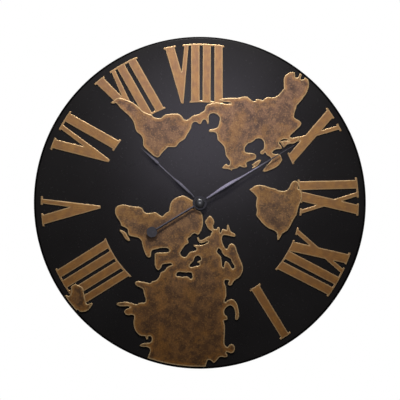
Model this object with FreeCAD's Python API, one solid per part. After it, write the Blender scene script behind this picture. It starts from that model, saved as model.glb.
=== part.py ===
import FreeCAD, Part
import math
import os

# World time clock for the wall. Millimetres. The origin is on the axis of the hands, in the plane
# of the wall. +Z is up, +X is right and the dial faces -Y. Depth is measured from the wall.

# Dial pan
dial_radius = 300.0
pan_sheet = 1.2
pan_depth = 26.0
pan_edge_radius = 4.0
pan_lip_width = 7.0

# Numerals: strokes and serifs cut from one sheet
numeral_sheet = 2.0
serif_outer_shares = (0.945, 0.957)
serif_inner_shares = (0.604, 0.616)

# Map plates: sheet on welded pads, clear of the numerals
map_sheet = 1.5
map_over_numeral = 0.2
map_edge_margin = 4.5
pad_radius = 3.0
small_pad_radius = 1.8

# Hanger bracket: a hat section with a keyhole
hanger_width = 44.0
hanger_height = 54.0
hanger_sheet = 1.5
hanger_flange = 13.0
hanger_off_wall = 1.5
hanger_from_rim = 68.0
keyhole_radius = 4.5
keyhole_slot_width = 5.0
keyhole_slot_height = 11.0

# Movement case, which is as large as the cell and the wheels in it need
case_wall = 1.2
case_corner_radius = 3.0
gasket_thickness = 0.8
gasket_margin = 3.0
partition_gap = 1.4
back_plate_thickness = 1.2
back_plate_leg = 0.5
stator_case_gap = 1.5
case_fit = 0.1

# Bush, washer and nut on the dial
bush_radius = 4.0
bush_end = 1.2
bush_flange_gap = 1.66
bush_flange_thickness = 0.8
bush_hole_clearance = 0.15
washer_radius = 9.0
washer_thickness = 0.8
nut_across_flats = 13.0
nut_thickness = 2.5

# Arbors and running fits
arbor_radius = 1.7
arbor_rear_radius = 1.0
arbor_clearance = 0.08
hour_pipe_radius = 2.5
pipe_clearance = 0.06
pivot_radius = 0.5
pivot_clearance = 0.05
knob_arbor_radius = 1.1
axial_play = 0.4

# Gears: module and tooth counts
motion_module = 0.32
cannon_teeth = 14
reverse_teeth = 42
reverse_pinion_teeth = 10
hour_teeth = 40
knob_teeth = 12
train_module = 0.28
minute_teeth = 64
third_pinion_teeth = 8
third_module_share = 13 / 14
third_teeth = 60
second_pinion_teeth = 8
second_module_share = 6 / 7
second_teeth = 50
intermediate_pinion_teeth = 10
rotor_module_share = 5 / 7
intermediate_teeth = 60
rotor_pinion_teeth = 10
tooth_share = 0.40
tip_share = 0.80
root_share = 1.20
pressure_angle = 20.0
flank_shares = (0.0, 0.5, 1.0)

# Where each arbor stands as seen from the front, as an angle from the one before
reverse_angle = 180.0
knob_angle = 135.0
third_angle = 60.0
second_angle = 20.0
intermediate_angle = 110.0
rotor_angle = 175.0

# Thickness of the wheels and plates, and the gaps that stack them
wheel_thickness = 0.8
thin_wheel_thickness = 0.6
hour_wheel_thickness = 1.1
wheel_gap = 0.7
mesh_overhang = 0.3
plate_thickness = 1.0
bridge_thickness = 0.8
post_radius = 1.5
pivot_boss_radius = 1.3
bearing_depth = 0.6

# Motor
magnet_radius = 3.0
magnet_length = 1.4
magnet_gap = 0.4
stator_ring_width = 1.9
stator_thickness = 0.8
coil_radius = 3.9
coil_length = 11.6
coil_tube_radius = 1.8
bobbin_flange_radius = 4.3
bobbin_flange_thickness = 0.8
coil_core_width = 2.2
coil_core_thickness = 0.8
coil_right_end = 6.0
stator_strip_width = 2.4
stator_strip_drop = 7.1
stator_foot_width = 2.6
core_clearance = 0.1
coil_clearance = 0.3
boss_radius = 0.9

# Circuit board with its parts
board_thickness = 0.8
board_left_margin = 1.0
board_bottom_gap = 0.5
board_coil_gap = 1.9
chip_width = 5.0
chip_thickness = 1.1
crystal_radius = 1.0
crystal_length = 6.0
board_hole_clearance = 0.9
standoff_radius = 1.0
standoff_inset = 1.5
standoff_rise = 4.0

# Battery cell, size AA, and its contacts
cell_radius = 7.0
cell_length = 49.6
cell_nub_radius = 2.7
cell_nub_length = 1.0
cell_edge_radius = 0.7
cell_floor_gap = 0.2
cell_side_gap = 0.5
cell_rear_gap = 0.6
contact_thickness = 0.3
contact_width = 8.0
contact_tongue = 2.0
contact_tab = 1.2
contact_gap = 0.15
contact_bow = 1.0

# Setting knob
knob_radius = 6.0
knob_thickness = 2.4
knob_flutes = 18
knob_flute_radius = 0.6

# Hands
hour_collet_length = 2.1
hand_sheet = 0.8
ridge_share = 0.26
hour_hand_length = 145.5
hour_half_width = 3.6
hour_boss_radius = 10.0
minute_hand_length = 200.0
minute_half_width = 4.5
minute_boss_radius = 13.0
hand_gap = 3.4
hour_hand_angle = 312.9
minute_hand_angle = 58.6
tail_half_width = 1.8
tail_length = 101.0
tail_disc_radius = 9.6
slot_start = 17.0
slot_length = 9.0
slot_width = 1.5
collet_wall = 1.3
collet_gap = 0.4

# Cap nut
cap_radius = 8.6
cap_rim_height = 1.2
cap_height = 4.4
cap_top_radius = 3.4

# Half width of the leaf of each hand along its length: share of the length, share of the widest
hour_leaf_shares = (
    (0.05, 0.40), (0.10, 0.46), (0.18, 0.74), (0.25, 0.95), (0.31, 1.00), (0.37, 0.88),
    (0.425, 0.60), (0.432, 0.45), (0.55, 0.40), (0.695, 0.36), (0.712, 0.92), (0.735, 1.00),
    (0.80, 0.74), (0.90, 0.40), (1.00, 0.06))
minute_leaf_shares = (
    (0.05, 0.34), (0.09, 0.38), (0.15, 0.62), (0.22, 0.90), (0.29, 1.00), (0.35, 0.86),
    (0.42, 0.52), (0.48, 0.36), (0.60, 0.29), (0.80, 0.20), (1.00, 0.05))

# Numerals. Each is drawn as if it stood at the top of the dial, in shares of the dial radius:
# to the right, and out from the centre, and is then turned by a share of a full turn.
numeral_turn_shares = {
    "numeral_viii": 0, "numeral_x": 2 / 12, "numeral_ix": 3 / 12, "numeral_xii": 4 / 12,
    "numeral_i": 5 / 12, "numeral_iiii": 8 / 12, "numeral_v": 9 / 12, "numeral_vi": 10 / 12,
    "numeral_vii": 11 / 12}
stroke_shares = {
    "numeral_viii": (
        ((-0.209, 0.928), (-0.153, 0.937), (-0.110, 0.788), (-0.093, 0.947), (-0.067, 0.947),
         (-0.098, 0.596), (-0.112, 0.596)),
        ((-0.053, 0.950), (-0.001, 0.950), (-0.001, 0.608), (-0.053, 0.608)),
        ((0.018, 0.950), (0.067, 0.950), (0.065, 0.608), (0.016, 0.608)),
        ((0.087, 0.944), (0.138, 0.938), (0.138, 0.602), (0.087, 0.606))),
    "numeral_x": (
        ((-0.101, 0.944), (-0.044, 0.949), (0.072, 0.612), (0.014, 0.612)),
        ((0.012, 0.950), (0.039, 0.950), (-0.044, 0.612), (-0.070, 0.612))),
    "numeral_ix": (
        ((-0.137, 0.942), (-0.085, 0.946), (-0.076, 0.610), (-0.128, 0.600)),
        ((-0.066, 0.948), (-0.040, 0.950), (0.066, 0.610), (0.042, 0.610)),
        ((0.012, 0.950), (0.070, 0.948), (-0.008, 0.612), (-0.068, 0.610))),
    "numeral_xii": (
        ((-0.181, 0.936), (-0.124, 0.945), (-0.018, 0.612), (-0.080, 0.608)),
        ((-0.086, 0.947), (-0.058, 0.950), (-0.128, 0.600), (-0.157, 0.594)),
        ((-0.032, 0.950), (0.020, 0.950), (0.036, 0.610), (-0.018, 0.610)),
        ((0.040, 0.950), (0.094, 0.946), (0.112, 0.600), (0.056, 0.608))),
    "numeral_i": (
        ((-0.069, 0.947), (-0.018, 0.950), (-0.006, 0.610), (-0.062, 0.608)),),
    "numeral_iiii": (
        ((-0.180, 0.934), (-0.134, 0.941), (-0.124, 0.598), (-0.168, 0.588)),
        ((-0.114, 0.944), (-0.063, 0.948), (-0.053, 0.608), (-0.104, 0.602)),
        ((-0.043, 0.950), (0.009, 0.950), (0.019, 0.610), (-0.034, 0.610)),
        ((0.028, 0.950), (0.079, 0.948), (0.092, 0.604), (0.039, 0.608))),
    "numeral_v": (
        ((-0.131, 0.942), (-0.074, 0.947), (-0.026, 0.783), (-0.004, 0.950), (0.024, 0.950),
         (-0.018, 0.597), (-0.034, 0.597)),),
    "numeral_vi": (
        ((-0.160, 0.937), (-0.104, 0.944), (-0.056, 0.776), (-0.034, 0.949), (-0.005, 0.950),
         (-0.046, 0.597), (-0.064, 0.597)),
        ((0.018, 0.950), (0.076, 0.948), (0.080, 0.606), (0.020, 0.610))),
    "numeral_vii": (
        ((-0.182, 0.932), (-0.126, 0.941), (-0.087, 0.793), (-0.068, 0.948), (-0.042, 0.949),
         (-0.069, 0.597), (-0.084, 0.597)),
        ((-0.028, 0.950), (0.024, 0.950), (0.021, 0.610), (-0.031, 0.610)),
        ((0.048, 0.950), (0.100, 0.946), (0.098, 0.604), (0.046, 0.608)))}
outer_serif_shares = {
    "numeral_viii": ((-0.217, -0.144), (-0.104, 0.147)),
    "numeral_x": ((-0.112, -0.036), (0.001, 0.051)),
    "numeral_ix": ((-0.152, -0.031), (0.005, 0.078)),
    "numeral_xii": ((-0.190, -0.117), (-0.096, 0.104)),
    "numeral_i": ((-0.082, -0.007),),
    "numeral_iiii": ((-0.190, 0.089),),
    "numeral_v": ((-0.142, -0.064), (-0.013, 0.040)),
    "numeral_vi": ((-0.171, -0.096), (-0.044, 0.088)),
    "numeral_vii": ((-0.193, -0.118), (-0.077, 0.111))}
inner_serif_shares = {
    "numeral_viii": ((-0.061, 0.147),),
    "numeral_x": ((-0.079, -0.034), (0.006, 0.080)),
    "numeral_ix": ((-0.138, 0.001), (0.034, 0.078)),
    "numeral_xii": ((-0.166, -0.121), (-0.089, 0.121)),
    "numeral_i": ((-0.071, 0.004),),
    "numeral_iiii": ((-0.178, 0.100),),
    "numeral_v": (),
    "numeral_vi": ((0.010, 0.090),),
    "numeral_vii": ((-0.040, 0.107),)}

# Map plates. Outlines in thousandths of the dial radius, to the right and up from the centre.
outline_mille_shares = {
    "map_americas": (
        (-536, 603), (-528, 596), (-515, 597), (-505, 600), (-497, 594), (-480, 572), (-460, 553),
        (-440, 536), (-425, 522), (-415, 510), (-405, 497), (-399, 485), (-394, 470), (-388, 443),
        (-378, 425), (-362, 413), (-352, 404), (-346, 393), (-342, 380), (-341, 345), (-336, 334),
        (-322, 322), (-305, 307), (-290, 293), (-278, 282), (-262, 275), (-255, 272), (-247, 275),
        (-240, 281), (-233, 292), (-222, 305), (-210, 318), (-199, 329), (-191, 335), (-170, 335),
        (-150, 335), (-143, 336), (-139, 342), (-132, 350), (-123, 363), (-105, 374), (-91, 383),
        (-84, 393), (-75, 412), (-64, 427), (-56, 442), (-51, 457), (-48, 471), (-43, 480), (-36, 484),
        (-27, 486), (-17, 484), (-11, 478), (-4, 474), (1, 473), (8, 475), (11, 482), (15, 491),
        (20, 498), (28, 500), (35, 498), (40, 491), (43, 481), (45, 474), (49, 473), (53, 478),
        (54, 487), (53, 509), (54, 519), (58, 529), (64, 534), (75, 538), (86, 538), (96, 534),
        (107, 528), (116, 519), (120, 509), (120, 498), (116, 476), (112, 466), (108, 457), (102, 452),
        (94, 447), (84, 444), (73, 442), (61, 441), (55, 437), (54, 432), (57, 427), (66, 425),
        (79, 425), (90, 423), (96, 420), (101, 414), (104, 405), (106, 380), (112, 372), (121, 364),
        (130, 356), (140, 345), (146, 336), (149, 326), (151, 314), (154, 301), (155, 289), (160, 278),
        (168, 266), (177, 256), (182, 248), (182, 239), (179, 228), (172, 224), (166, 228), (160, 233),
        (152, 231), (146, 225), (140, 217), (134, 212), (137, 208), (143, 205), (155, 204), (168, 203),
        (179, 200), (187, 195), (191, 192), (194, 196), (197, 202), (208, 203), (221, 206), (230, 211),
        (236, 217), (243, 219), (255, 214), (267, 211), (280, 213), (285, 219), (282, 225), (279, 233),
        (282, 241), (289, 247), (302, 252), (317, 256), (330, 261), (336, 267), (339, 277), (338, 286),
        (331, 294), (320, 298), (305, 300), (289, 300), (277, 303), (270, 309), (269, 320), (272, 333),
        (280, 345), (289, 356), (309, 362), (318, 367), (329, 376), (337, 384), (349, 387), (360, 387),
        (371, 383), (379, 375), (385, 367), (387, 345), (386, 332), (383, 323), (375, 317), (366, 310),
        (362, 303), (365, 296), (373, 290), (382, 292), (388, 299), (392, 303), (397, 297), (402, 288),
        (410, 282), (421, 277), (427, 270), (430, 259), (425, 250), (415, 238), (400, 225), (385, 205),
        (378, 190), (388, 186), (402, 189), (415, 193), (428, 199), (441, 204), (455, 211), (468, 220),
        (477, 228), (485, 240), (492, 251), (495, 259), (492, 266), (489, 278), (482, 290), (468, 294),
        (455, 292), (441, 295), (435, 302), (441, 310), (450, 317), (459, 321), (472, 323), (485, 323),
        (492, 325), (494, 331), (491, 337), (488, 345), (481, 350), (477, 357), (478, 363), (482, 370),
        (490, 376), (499, 382), (510, 383), (521, 382), (534, 376), (537, 373), (530, 372), (520, 374),
        (508, 374), (498, 372), (493, 368), (492, 363), (497, 356), (503, 348), (509, 342), (514, 338),
        (519, 341), (523, 348), (530, 353), (543, 355), (560, 355), (572, 360), (583, 367), (590, 372),
        (598, 385), (598, 398), (587, 397), (574, 394), (563, 390), (552, 390), (545, 394), (542, 400),
        (546, 407), (554, 415), (565, 424), (576, 434), (587, 444), (598, 454), (606, 464), (610, 473),
        (611, 479), (605, 488), (597, 495), (584, 501), (573, 508), (567, 514), (567, 524), (569, 538),
        (573, 551), (577, 563), (580, 575), (585, 588), (593, 595), (604, 608), (616, 622), (626, 637),
        (637, 652), (646, 667), (651, 682), (655, 696), (657, 711), (655, 728), (651, 743), (646, 754),
        (639, 757), (630, 752), (627, 745), (620, 740), (610, 740), (606, 747), (609, 756), (611, 764),
        (616, 773), (615, 778), (610, 783), (604, 782), (599, 773), (595, 763), (590, 754), (584, 751),
        (576, 753), (573, 761), (573, 773), (572, 782), (567, 786), (557, 787), (545, 786), (535, 782),
        (525, 774), (514, 767), (509, 758), (505, 748), (504, 724), (505, 699), (506, 688), (501, 682),
        (494, 672), (485, 662), (476, 652), (463, 642), (451, 635), (441, 633), (429, 634), (416, 636),
        (404, 634), (394, 630), (385, 621), (377, 616), (367, 619), (355, 623), (341, 624), (337, 620),
        (336, 612), (328, 610), (317, 613), (305, 621), (296, 629), (286, 637), (271, 639), (252, 637),
        (240, 632), (215, 630), (190, 630), (165, 630), (146, 629), (125, 624), (111, 618), (120, 614),
        (140, 607), (165, 605), (183, 603), (189, 599), (186, 596), (165, 594), (147, 596), (138, 598),
        (120, 600), (100, 603), (80, 600), (64, 597), (57, 595), (49, 593), (43, 589), (36, 582),
        (32, 575), (31, 564), (28, 557), (21, 550), (11, 545), (3, 540), (-1, 535), (-11, 532),
        (-24, 529), (-36, 526), (-47, 520), (-56, 513), (-64, 505), (-73, 500), (-81, 498), (-91, 499),
        (-97, 504), (-102, 512), (-107, 519), (-115, 526), (-124, 532), (-137, 536), (-153, 536),
        (-172, 535), (-188, 533), (-205, 531), (-215, 526), (-222, 519), (-229, 512), (-240, 508),
        (-254, 508), (-267, 511), (-278, 516), (-288, 527), (-300, 531), (-318, 538), (-338, 547),
        (-350, 557), (-365, 572), (-385, 590), (-404, 604), (-432, 615), (-450, 622), (-468, 628),
        (-485, 632), (-500, 628), (-512, 618), (-525, 612)),
    "map_arctic_island": (
        (311, 227), (333, 245), (346, 253), (358, 258), (368, 257), (364, 245), (356, 233), (346, 222),
        (336, 212), (318, 206), (314, 212), (328, 220), (318, 224)),
    "map_greenland": (
        (298, 79), (317, 92), (332, 103), (358, 107), (385, 104), (410, 95), (433, 89), (456, 84),
        (470, 75), (490, 71), (512, 71), (527, 79), (539, 94), (546, 113), (557, 127), (572, 133),
        (587, 127), (596, 116), (596, 103), (590, 84), (602, 83), (614, 54), (614, 24), (606, 5),
        (599, -10), (593, -28), (587, -50), (582, -74), (571, -89), (560, -107), (550, -130),
        (539, -149), (527, -167), (512, -177), (497, -184), (490, -198), (482, -212), (476, -223),
        (467, -224), (465, -209), (465, -190), (460, -177), (445, -167), (422, -158), (403, -147),
        (388, -134), (373, -119), (358, -100), (343, -83), (338, -74), (341, -59), (343, -40),
        (338, -21), (338, -1), (341, 17), (343, 30), (334, 45), (320, 59), (308, 69)),
    "map_africa_eurasia": (
        (-507, -30), (-495, -18), (-480, -13), (-460, -11), (-442, -13), (-425, -18), (-405, -21),
        (-380, -23), (-362, -25), (-350, -31), (-342, -38), (-338, -50), (-331, -58), (-318, -62),
        (-300, -62), (-285, -60), (-272, -56), (-262, -59), (-250, -67), (-238, -76), (-226, -82),
        (-218, -77), (-210, -66), (-200, -58), (-188, -52), (-184, -44), (-183, -33), (-180, -20),
        (-177, -5), (-170, 8), (-160, 20), (-148, 29), (-130, 36), (-110, 42), (-100, 43), (-85, 38),
        (-70, 30), (-52, 20), (-40, 12), (-35, 2), (-35, -12), (-30, -30), (-15, -45), (0, -50),
        (8, -58), (14, -70), (17, -85), (19, -100), (19, -120), (17, -140), (13, -155), (8, -170),
        (0, -181), (-6, -190), (-14, -194), (-22, -187), (-34, -184), (-45, -190), (-55, -203),
        (-68, -211), (-75, -220), (-70, -230), (-67, -239), (-75, -248), (-85, -252), (-93, -262),
        (-102, -275), (-112, -290), (-118, -301), (-116, -311), (-108, -320), (-98, -326), (-87, -327),
        (-77, -318), (-69, -305), (-60, -297), (-48, -292), (-34, -291), (-25, -288), (-20, -279),
        (-22, -270), (-32, -266), (-39, -259), (-33, -252), (-18, -253), (0, -255), (16, -253),
        (32, -247), (46, -240), (50, -234), (42, -231), (26, -239), (10, -244), (-2, -241), (-9, -233),
        (-14, -223), (-17, -212), (-14, -206), (-9, -207), (-5, -213), (0, -222), (6, -226), (20, -220),
        (36, -210), (50, -203), (60, -200), (66, -194), (66, -186), (71, -181), (75, -175), (70, -169),
        (60, -163), (50, -155), (43, -145), (38, -133), (32, -122), (31, -112), (37, -103), (43, -95),
        (50, -85), (58, -79), (66, -79), (72, -86), (80, -95), (85, -105), (87, -115), (85, -127),
        (80, -138), (80, -148), (86, -157), (95, -160), (102, -157), (107, -149), (113, -146),
        (119, -150), (121, -159), (119, -169), (120, -178), (124, -182), (128, -174), (132, -163),
        (140, -157), (150, -160), (159, -165), (163, -159), (162, -145), (164, -134), (170, -131),
        (176, -140), (180, -155), (183, -168), (192, -177), (203, -180), (212, -188), (216, -198),
        (211, -205), (200, -204), (190, -202), (175, -199), (160, -196), (148, -194), (138, -198),
        (134, -207), (133, -220), (136, -235), (140, -250), (146, -262), (152, -272), (158, -278),
        (165, -277), (170, -268), (173, -256), (180, -248), (190, -246), (202, -248), (212, -256),
        (217, -268), (221, -282), (226, -298), (232, -312), (238, -328), (245, -345), (252, -362),
        (258, -378), (260, -393), (258, -410), (253, -425), (245, -440), (232, -453), (218, -460),
        (207, -470), (198, -482), (193, -494), (183, -498), (172, -496), (168, -489), (172, -480),
        (176, -471), (172, -464), (160, -464), (150, -466), (147, -477), (150, -489), (156, -500),
        (158, -512), (158, -528), (160, -545), (160, -560), (156, -572), (150, -582), (147, -594),
        (151, -599), (160, -592), (175, -583), (190, -578), (205, -583), (218, -598), (228, -618),
        (233, -640), (236, -665), (235, -685), (230, -699), (221, -706), (212, -700), (212, -685),
        (213, -665), (210, -645), (203, -630), (193, -620), (182, -616), (168, -622), (155, -633),
        (148, -645), (146, -658), (150, -671), (158, -680), (166, -688), (167, -698), (160, -705),
        (148, -706), (142, -710), (146, -720), (150, -735), (151, -760), (150, -790), (148, -820),
        (147, -843), (151, -856), (160, -866), (167, -868), (173, -861), (179, -853), (190, -849),
        (202, -853), (210, -865), (211, -880), (207, -895), (198, -903), (185, -905), (172, -899),
        (161, -897), (157, -903), (163, -909), (168, -918), (164, -927), (152, -929), (138, -927),
        (125, -926), (115, -930), (108, -940), (98, -952), (88, -962), (80, -962), (72, -952),
        (62, -945), (52, -944), (44, -950), (41, -962), (37, -975), (34, -992), (30, -1020),
        (-150, -1010), (-330, -990), (-322, -950), (-313, -932), (-308, -915), (-302, -900),
        (-299, -886), (-304, -874), (-318, -867), (-338, -867), (-354, -864), (-362, -857), (-354, -849),
        (-338, -844), (-316, -842), (-301, -841), (-292, -834), (-288, -820), (-291, -808), (-299, -801),
        (-311, -803), (-311, -815), (-316, -823), (-322, -822), (-325, -812), (-327, -803), (-338, -802),
        (-350, -801), (-365, -795), (-378, -782), (-388, -768), (-394, -752), (-398, -735), (-399, -715),
        (-396, -698), (-394, -685), (-399, -676), (-412, -673), (-428, -676), (-442, -673), (-452, -665),
        (-456, -655), (-451, -645), (-441, -638), (-428, -632), (-418, -627), (-428, -622), (-445, -622),
        (-465, -623), (-485, -620), (-498, -616), (-501, -609), (-493, -601), (-480, -597), (-455, -596),
        (-435, -597), (-420, -601), (-400, -606), (-385, -611), (-375, -609), (-365, -603), (-350, -600),
        (-335, -601), (-327, -596), (-325, -585), (-328, -570), (-333, -558), (-337, -545), (-338, -530),
        (-342, -520), (-351, -513), (-362, -508), (-375, -502), (-387, -493), (-391, -483), (-384, -474),
        (-370, -471), (-350, -474), (-335, -476), (-318, -480), (-303, -484), (-294, -481), (-288, -473),
        (-275, -470), (-262, -465), (-253, -456), (-245, -445), (-240, -432), (-236, -420), (-227, -414),
        (-215, -410), (-208, -402), (-200, -390), (-188, -382), (-175, -377), (-165, -373), (-168, -367),
        (-180, -363), (-195, -366), (-212, -368), (-224, -371), (-230, -380), (-232, -390), (-239, -399),
        (-248, -405), (-258, -402), (-266, -390), (-271, -375), (-272, -355), (-272, -335), (-272, -318),
        (-270, -307), (-262, -301), (-245, -299), (-220, -299), (-200, -298), (-188, -296), (-182, -289),
        (-185, -280), (-195, -273), (-210, -271), (-225, -271), (-240, -273), (-255, -277), (-270, -280),
        (-280, -283), (-290, -289), (-294, -299), (-293, -316), (-296, -327), (-305, -330), (-316, -326),
        (-324, -315), (-331, -300), (-337, -285), (-342, -268), (-346, -250), (-350, -232), (-357, -220),
        (-370, -210), (-385, -206), (-400, -204), (-415, -200), (-425, -197), (-431, -188), (-432, -175),
        (-433, -163), (-439, -155), (-450, -148), (-462, -143), (-472, -138), (-475, -128), (-480, -115),
        (-490, -100), (-498, -88), (-505, -75), (-510, -60), (-510, -45)),
    "map_madagascar": (
        (-482, -163), (-470, -165), (-455, -172), (-443, -182), (-437, -195), (-430, -205), (-422, -218),
        (-420, -227), (-428, -232), (-437, -226), (-448, -218), (-456, -205), (-463, -192), (-472, -180),
        (-482, -172)),
    "map_australia": (
        (-840, -580), (-812, -558), (-800, -557), (-789, -561), (-780, -556), (-776, -545), (-773, -530),
        (-772, -517), (-777, -508), (-772, -500), (-760, -492), (-748, -488), (-735, -494), (-722, -500),
        (-708, -508), (-699, -520), (-697, -540), (-693, -562), (-688, -585), (-684, -604), (-676, -611),
        (-666, -606), (-655, -601), (-646, -603), (-645, -612), (-652, -622), (-661, -634), (-670, -645),
        (-685, -653), (-705, -657), (-722, -655), (-729, -646), (-737, -643), (-745, -660), (-780, -660))}
# Inland seas of the largest plate, and the gulf of the northern land
sea_mille_shares = {
    "map_africa_eurasia": (
        (
            (-33, -335), (-25, -322), (-12, -318), (0, -323), (7, -335), (6, -345), (-3, -349),
            (-12, -350), (-18, -356), (-10, -361), (-2, -364), (-1, -373), (-10, -379), (-25, -380),
            (-38, -385), (-52, -388), (-62, -383), (-60, -372), (-50, -363), (-40, -352), (-35, -343)),
        (
            (-133, -418), (-120, -416), (-100, -418), (-80, -420), (-60, -418), (-50, -421), (-47, -432),
            (-44, -445), (-48, -457), (-57, -458), (-65, -449), (-75, -443), (-90, -443), (-105, -446),
            (-120, -443), (-135, -442), (-143, -436), (-139, -426)),
        (
            (105, -285), (112, -273), (120, -276), (128, -285), (132, -298), (140, -310), (150, -320),
            (165, -325), (178, -332), (188, -340), (192, -355), (200, -368), (208, -380), (208, -391),
            (200, -397), (190, -390), (182, -375), (175, -362), (165, -355), (155, -351), (150, -358),
            (147, -372), (144, -388), (138, -388), (134, -378), (133, -360), (131, -342), (127, -325),
            (118, -313), (107, -303), (103, -293)))}
# Pads that are welded behind each plate, where no numeral lies
pad_mille_shares = {
    "map_americas": ((-310, 410), (-160, 430), (250, 500), (300, 390), (440, 450), (470, 560), (600, 660)),
    "map_greenland": ((420, 0), (500, -110), (540, 20)),
    "map_africa_eurasia": (
        (-450, -70), (-380, -150), (-110, -10), (-80, -150), (-230, -330), (40, -320), (225, -380),
        (-200, -560), (80, -580), (-330, -720), (-60, -760), (90, -860), (-200, -900))}
small_pad_mille_shares = {
    "map_arctic_island": ((348, 243),),
    "map_madagascar": ((-447, -195),),
    "map_australia": ((-675, -636), (-773, -588))}

# Depths that follow from the sizes: the dial, then the movement from front to back
dial_back = pan_depth - pan_sheet
case_face = dial_back - gasket_thickness
case_inside = case_face - case_wall
map_back = pan_depth + numeral_sheet + map_over_numeral
map_front = map_back + map_sheet
hanger_centre_height = dial_radius - hanger_from_rim

half_overhang = mesh_overhang / 2
flange_back = case_inside - bush_flange_thickness
hour_wheel_front = flange_back - mesh_overhang
hour_wheel_back = hour_wheel_front - hour_wheel_thickness
reverse_front = hour_wheel_back - wheel_gap - mesh_overhang
reverse_back = reverse_front - wheel_thickness
cannon_front = reverse_front + mesh_overhang
cannon_back = reverse_back - half_overhang
plate_front = reverse_back - wheel_gap + half_overhang
plate_back = plate_front - plate_thickness
minute_front = plate_back - wheel_gap + half_overhang
minute_back = minute_front - wheel_thickness
third_front = minute_back - wheel_gap - half_overhang
third_back = third_front - wheel_thickness
second_front = third_back - wheel_gap - half_overhang
second_back = second_front - thin_wheel_thickness
intermediate_front = second_back - wheel_gap - half_overhang
intermediate_back = intermediate_front - thin_wheel_thickness
bridge_front = intermediate_back - wheel_gap - half_overhang
bridge_back = bridge_front - bridge_thickness
cell_front = case_inside - cell_floor_gap
cell_middle = cell_front - cell_radius
case_rear = min(cell_front - 2 * cell_radius - cell_rear_gap,
                bridge_back - back_plate_leg - back_plate_thickness)

magnet_front = plate_back - axial_play
magnet_back = magnet_front - magnet_length
stator_front = magnet_front - half_overhang
stator_back = stator_front - stator_thickness
core_front = stator_back
core_back = core_front - coil_core_thickness
core_middle = (core_front + core_back) / 2
board_back = core_back - coil_radius
board_front = board_back + board_thickness
contact_back = cell_middle - contact_width / 2
contact_front = cell_middle + contact_width / 2

washer_front = pan_depth + washer_thickness
nut_front = washer_front + nut_thickness
bush_front = nut_front + bush_end
hour_collet_back = bush_front + collet_gap
hour_hand_back = hour_collet_back + hour_collet_length
hour_hand_front = hour_hand_back + hand_sheet
hour_pipe_front = hour_hand_front + collet_gap / 2
minute_collet_back = hour_pipe_front + collet_gap
minute_hand_back = hour_hand_front + hand_gap
minute_hand_front = minute_hand_back + hand_sheet
hub_front = minute_hand_front + cap_height

shapes = {}


def at(x, depth, z):
    return FreeCAD.Vector(x, -depth, z)


def rod(radius, back, front, place=(0, 0)):
    """Round bar from one depth to another, along the axis of the clock."""
    return Part.makeCylinder(radius, front - back, at(place[0], back, place[1]), at(0, 1, 0))


def block(left, right, back, front, bottom, top):
    return Part.makeBox(right - left, front - back, top - bottom, at(left, front, bottom))


def slab(points, back, front):
    """Flat plate with straight edges, from its outline as seen from the front."""
    corners = [at(x, back, z) for x, z in points]
    face = Part.Face(Part.makePolygon(corners + corners[:1]))
    return face.extrude(at(0, front - back, 0))


def fused(first, *others):
    return first.fuse(list(others)).removeSplitter()


def turned(shape, angle):
    """Turns a shape about the axis of the hands, clockwise as seen from the front."""
    shape = shape.copy()
    shape.rotate(at(0, 0, 0), FreeCAD.Vector(0, 1, 0), angle)
    return shape


def beside(place, distance, angle):
    """The place at a distance from another, at an angle from the right, counterclockwise."""
    turn = math.radians(angle)
    return (place[0] + distance * math.cos(turn), place[1] + distance * math.sin(turn))


# Gears

def involute(angle):
    return math.tan(angle) - angle


def gear(teeth, module, back, front, place, phase):
    """Spur gear with involute flanks; one tooth points at the phase angle."""
    pitch = teeth * module / 2
    base = pitch * math.cos(math.radians(pressure_angle))
    tip = pitch + tip_share * module
    root = pitch - root_share * module
    low = max(base, root)
    at_pitch = tooth_share * math.pi / teeth + involute(math.radians(pressure_angle))
    outline = []
    for tooth in range(teeth):
        middle = math.radians(phase) + 2 * math.pi * tooth / teeth
        side = [(root, at_pitch)] if root < base else []
        for share in flank_shares:
            radius = low + share * (tip - low)
            half = at_pitch - involute(math.acos(min(base / radius, 1)))
            side.append((radius, half))
        outline += [(radius, middle - half) for radius, half in side]
        outline += [(radius, middle + half) for radius, half in reversed(side)]
    points = [(place[0] + radius * math.cos(turn), place[1] + radius * math.sin(turn))
              for radius, turn in outline]
    return slab(points, back, front)


def mate_phase(teeth, phase, direction, mate_teeth):
    """Phase of a gear that meshes with another, which lies in the direction seen from it."""
    along = (direction - phase) * teeth / 360
    return direction + 180 - (0.5 - along) * 360 / mate_teeth


def distance(teeth, mate_teeth, module):
    return (teeth + mate_teeth) * module / 2


third_module = third_module_share * train_module
second_module = second_module_share * train_module
rotor_module = rotor_module_share * train_module
motion_distance = distance(cannon_teeth, reverse_teeth, motion_module)
hour_module = 2 * motion_distance / (hour_teeth + reverse_pinion_teeth)
centre = (0, 0)
reverse_place = beside(centre, motion_distance, reverse_angle)
knob_place = beside(reverse_place, distance(reverse_teeth, knob_teeth, motion_module), knob_angle)
third_place = beside(centre, distance(minute_teeth, third_pinion_teeth, train_module), third_angle)
second_place = beside(third_place, distance(third_teeth, second_pinion_teeth, third_module), second_angle)
intermediate_place = beside(
    second_place, distance(second_teeth, intermediate_pinion_teeth, second_module), intermediate_angle)
rotor_place = beside(
    intermediate_place, distance(intermediate_teeth, rotor_pinion_teeth, rotor_module), rotor_angle)

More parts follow.
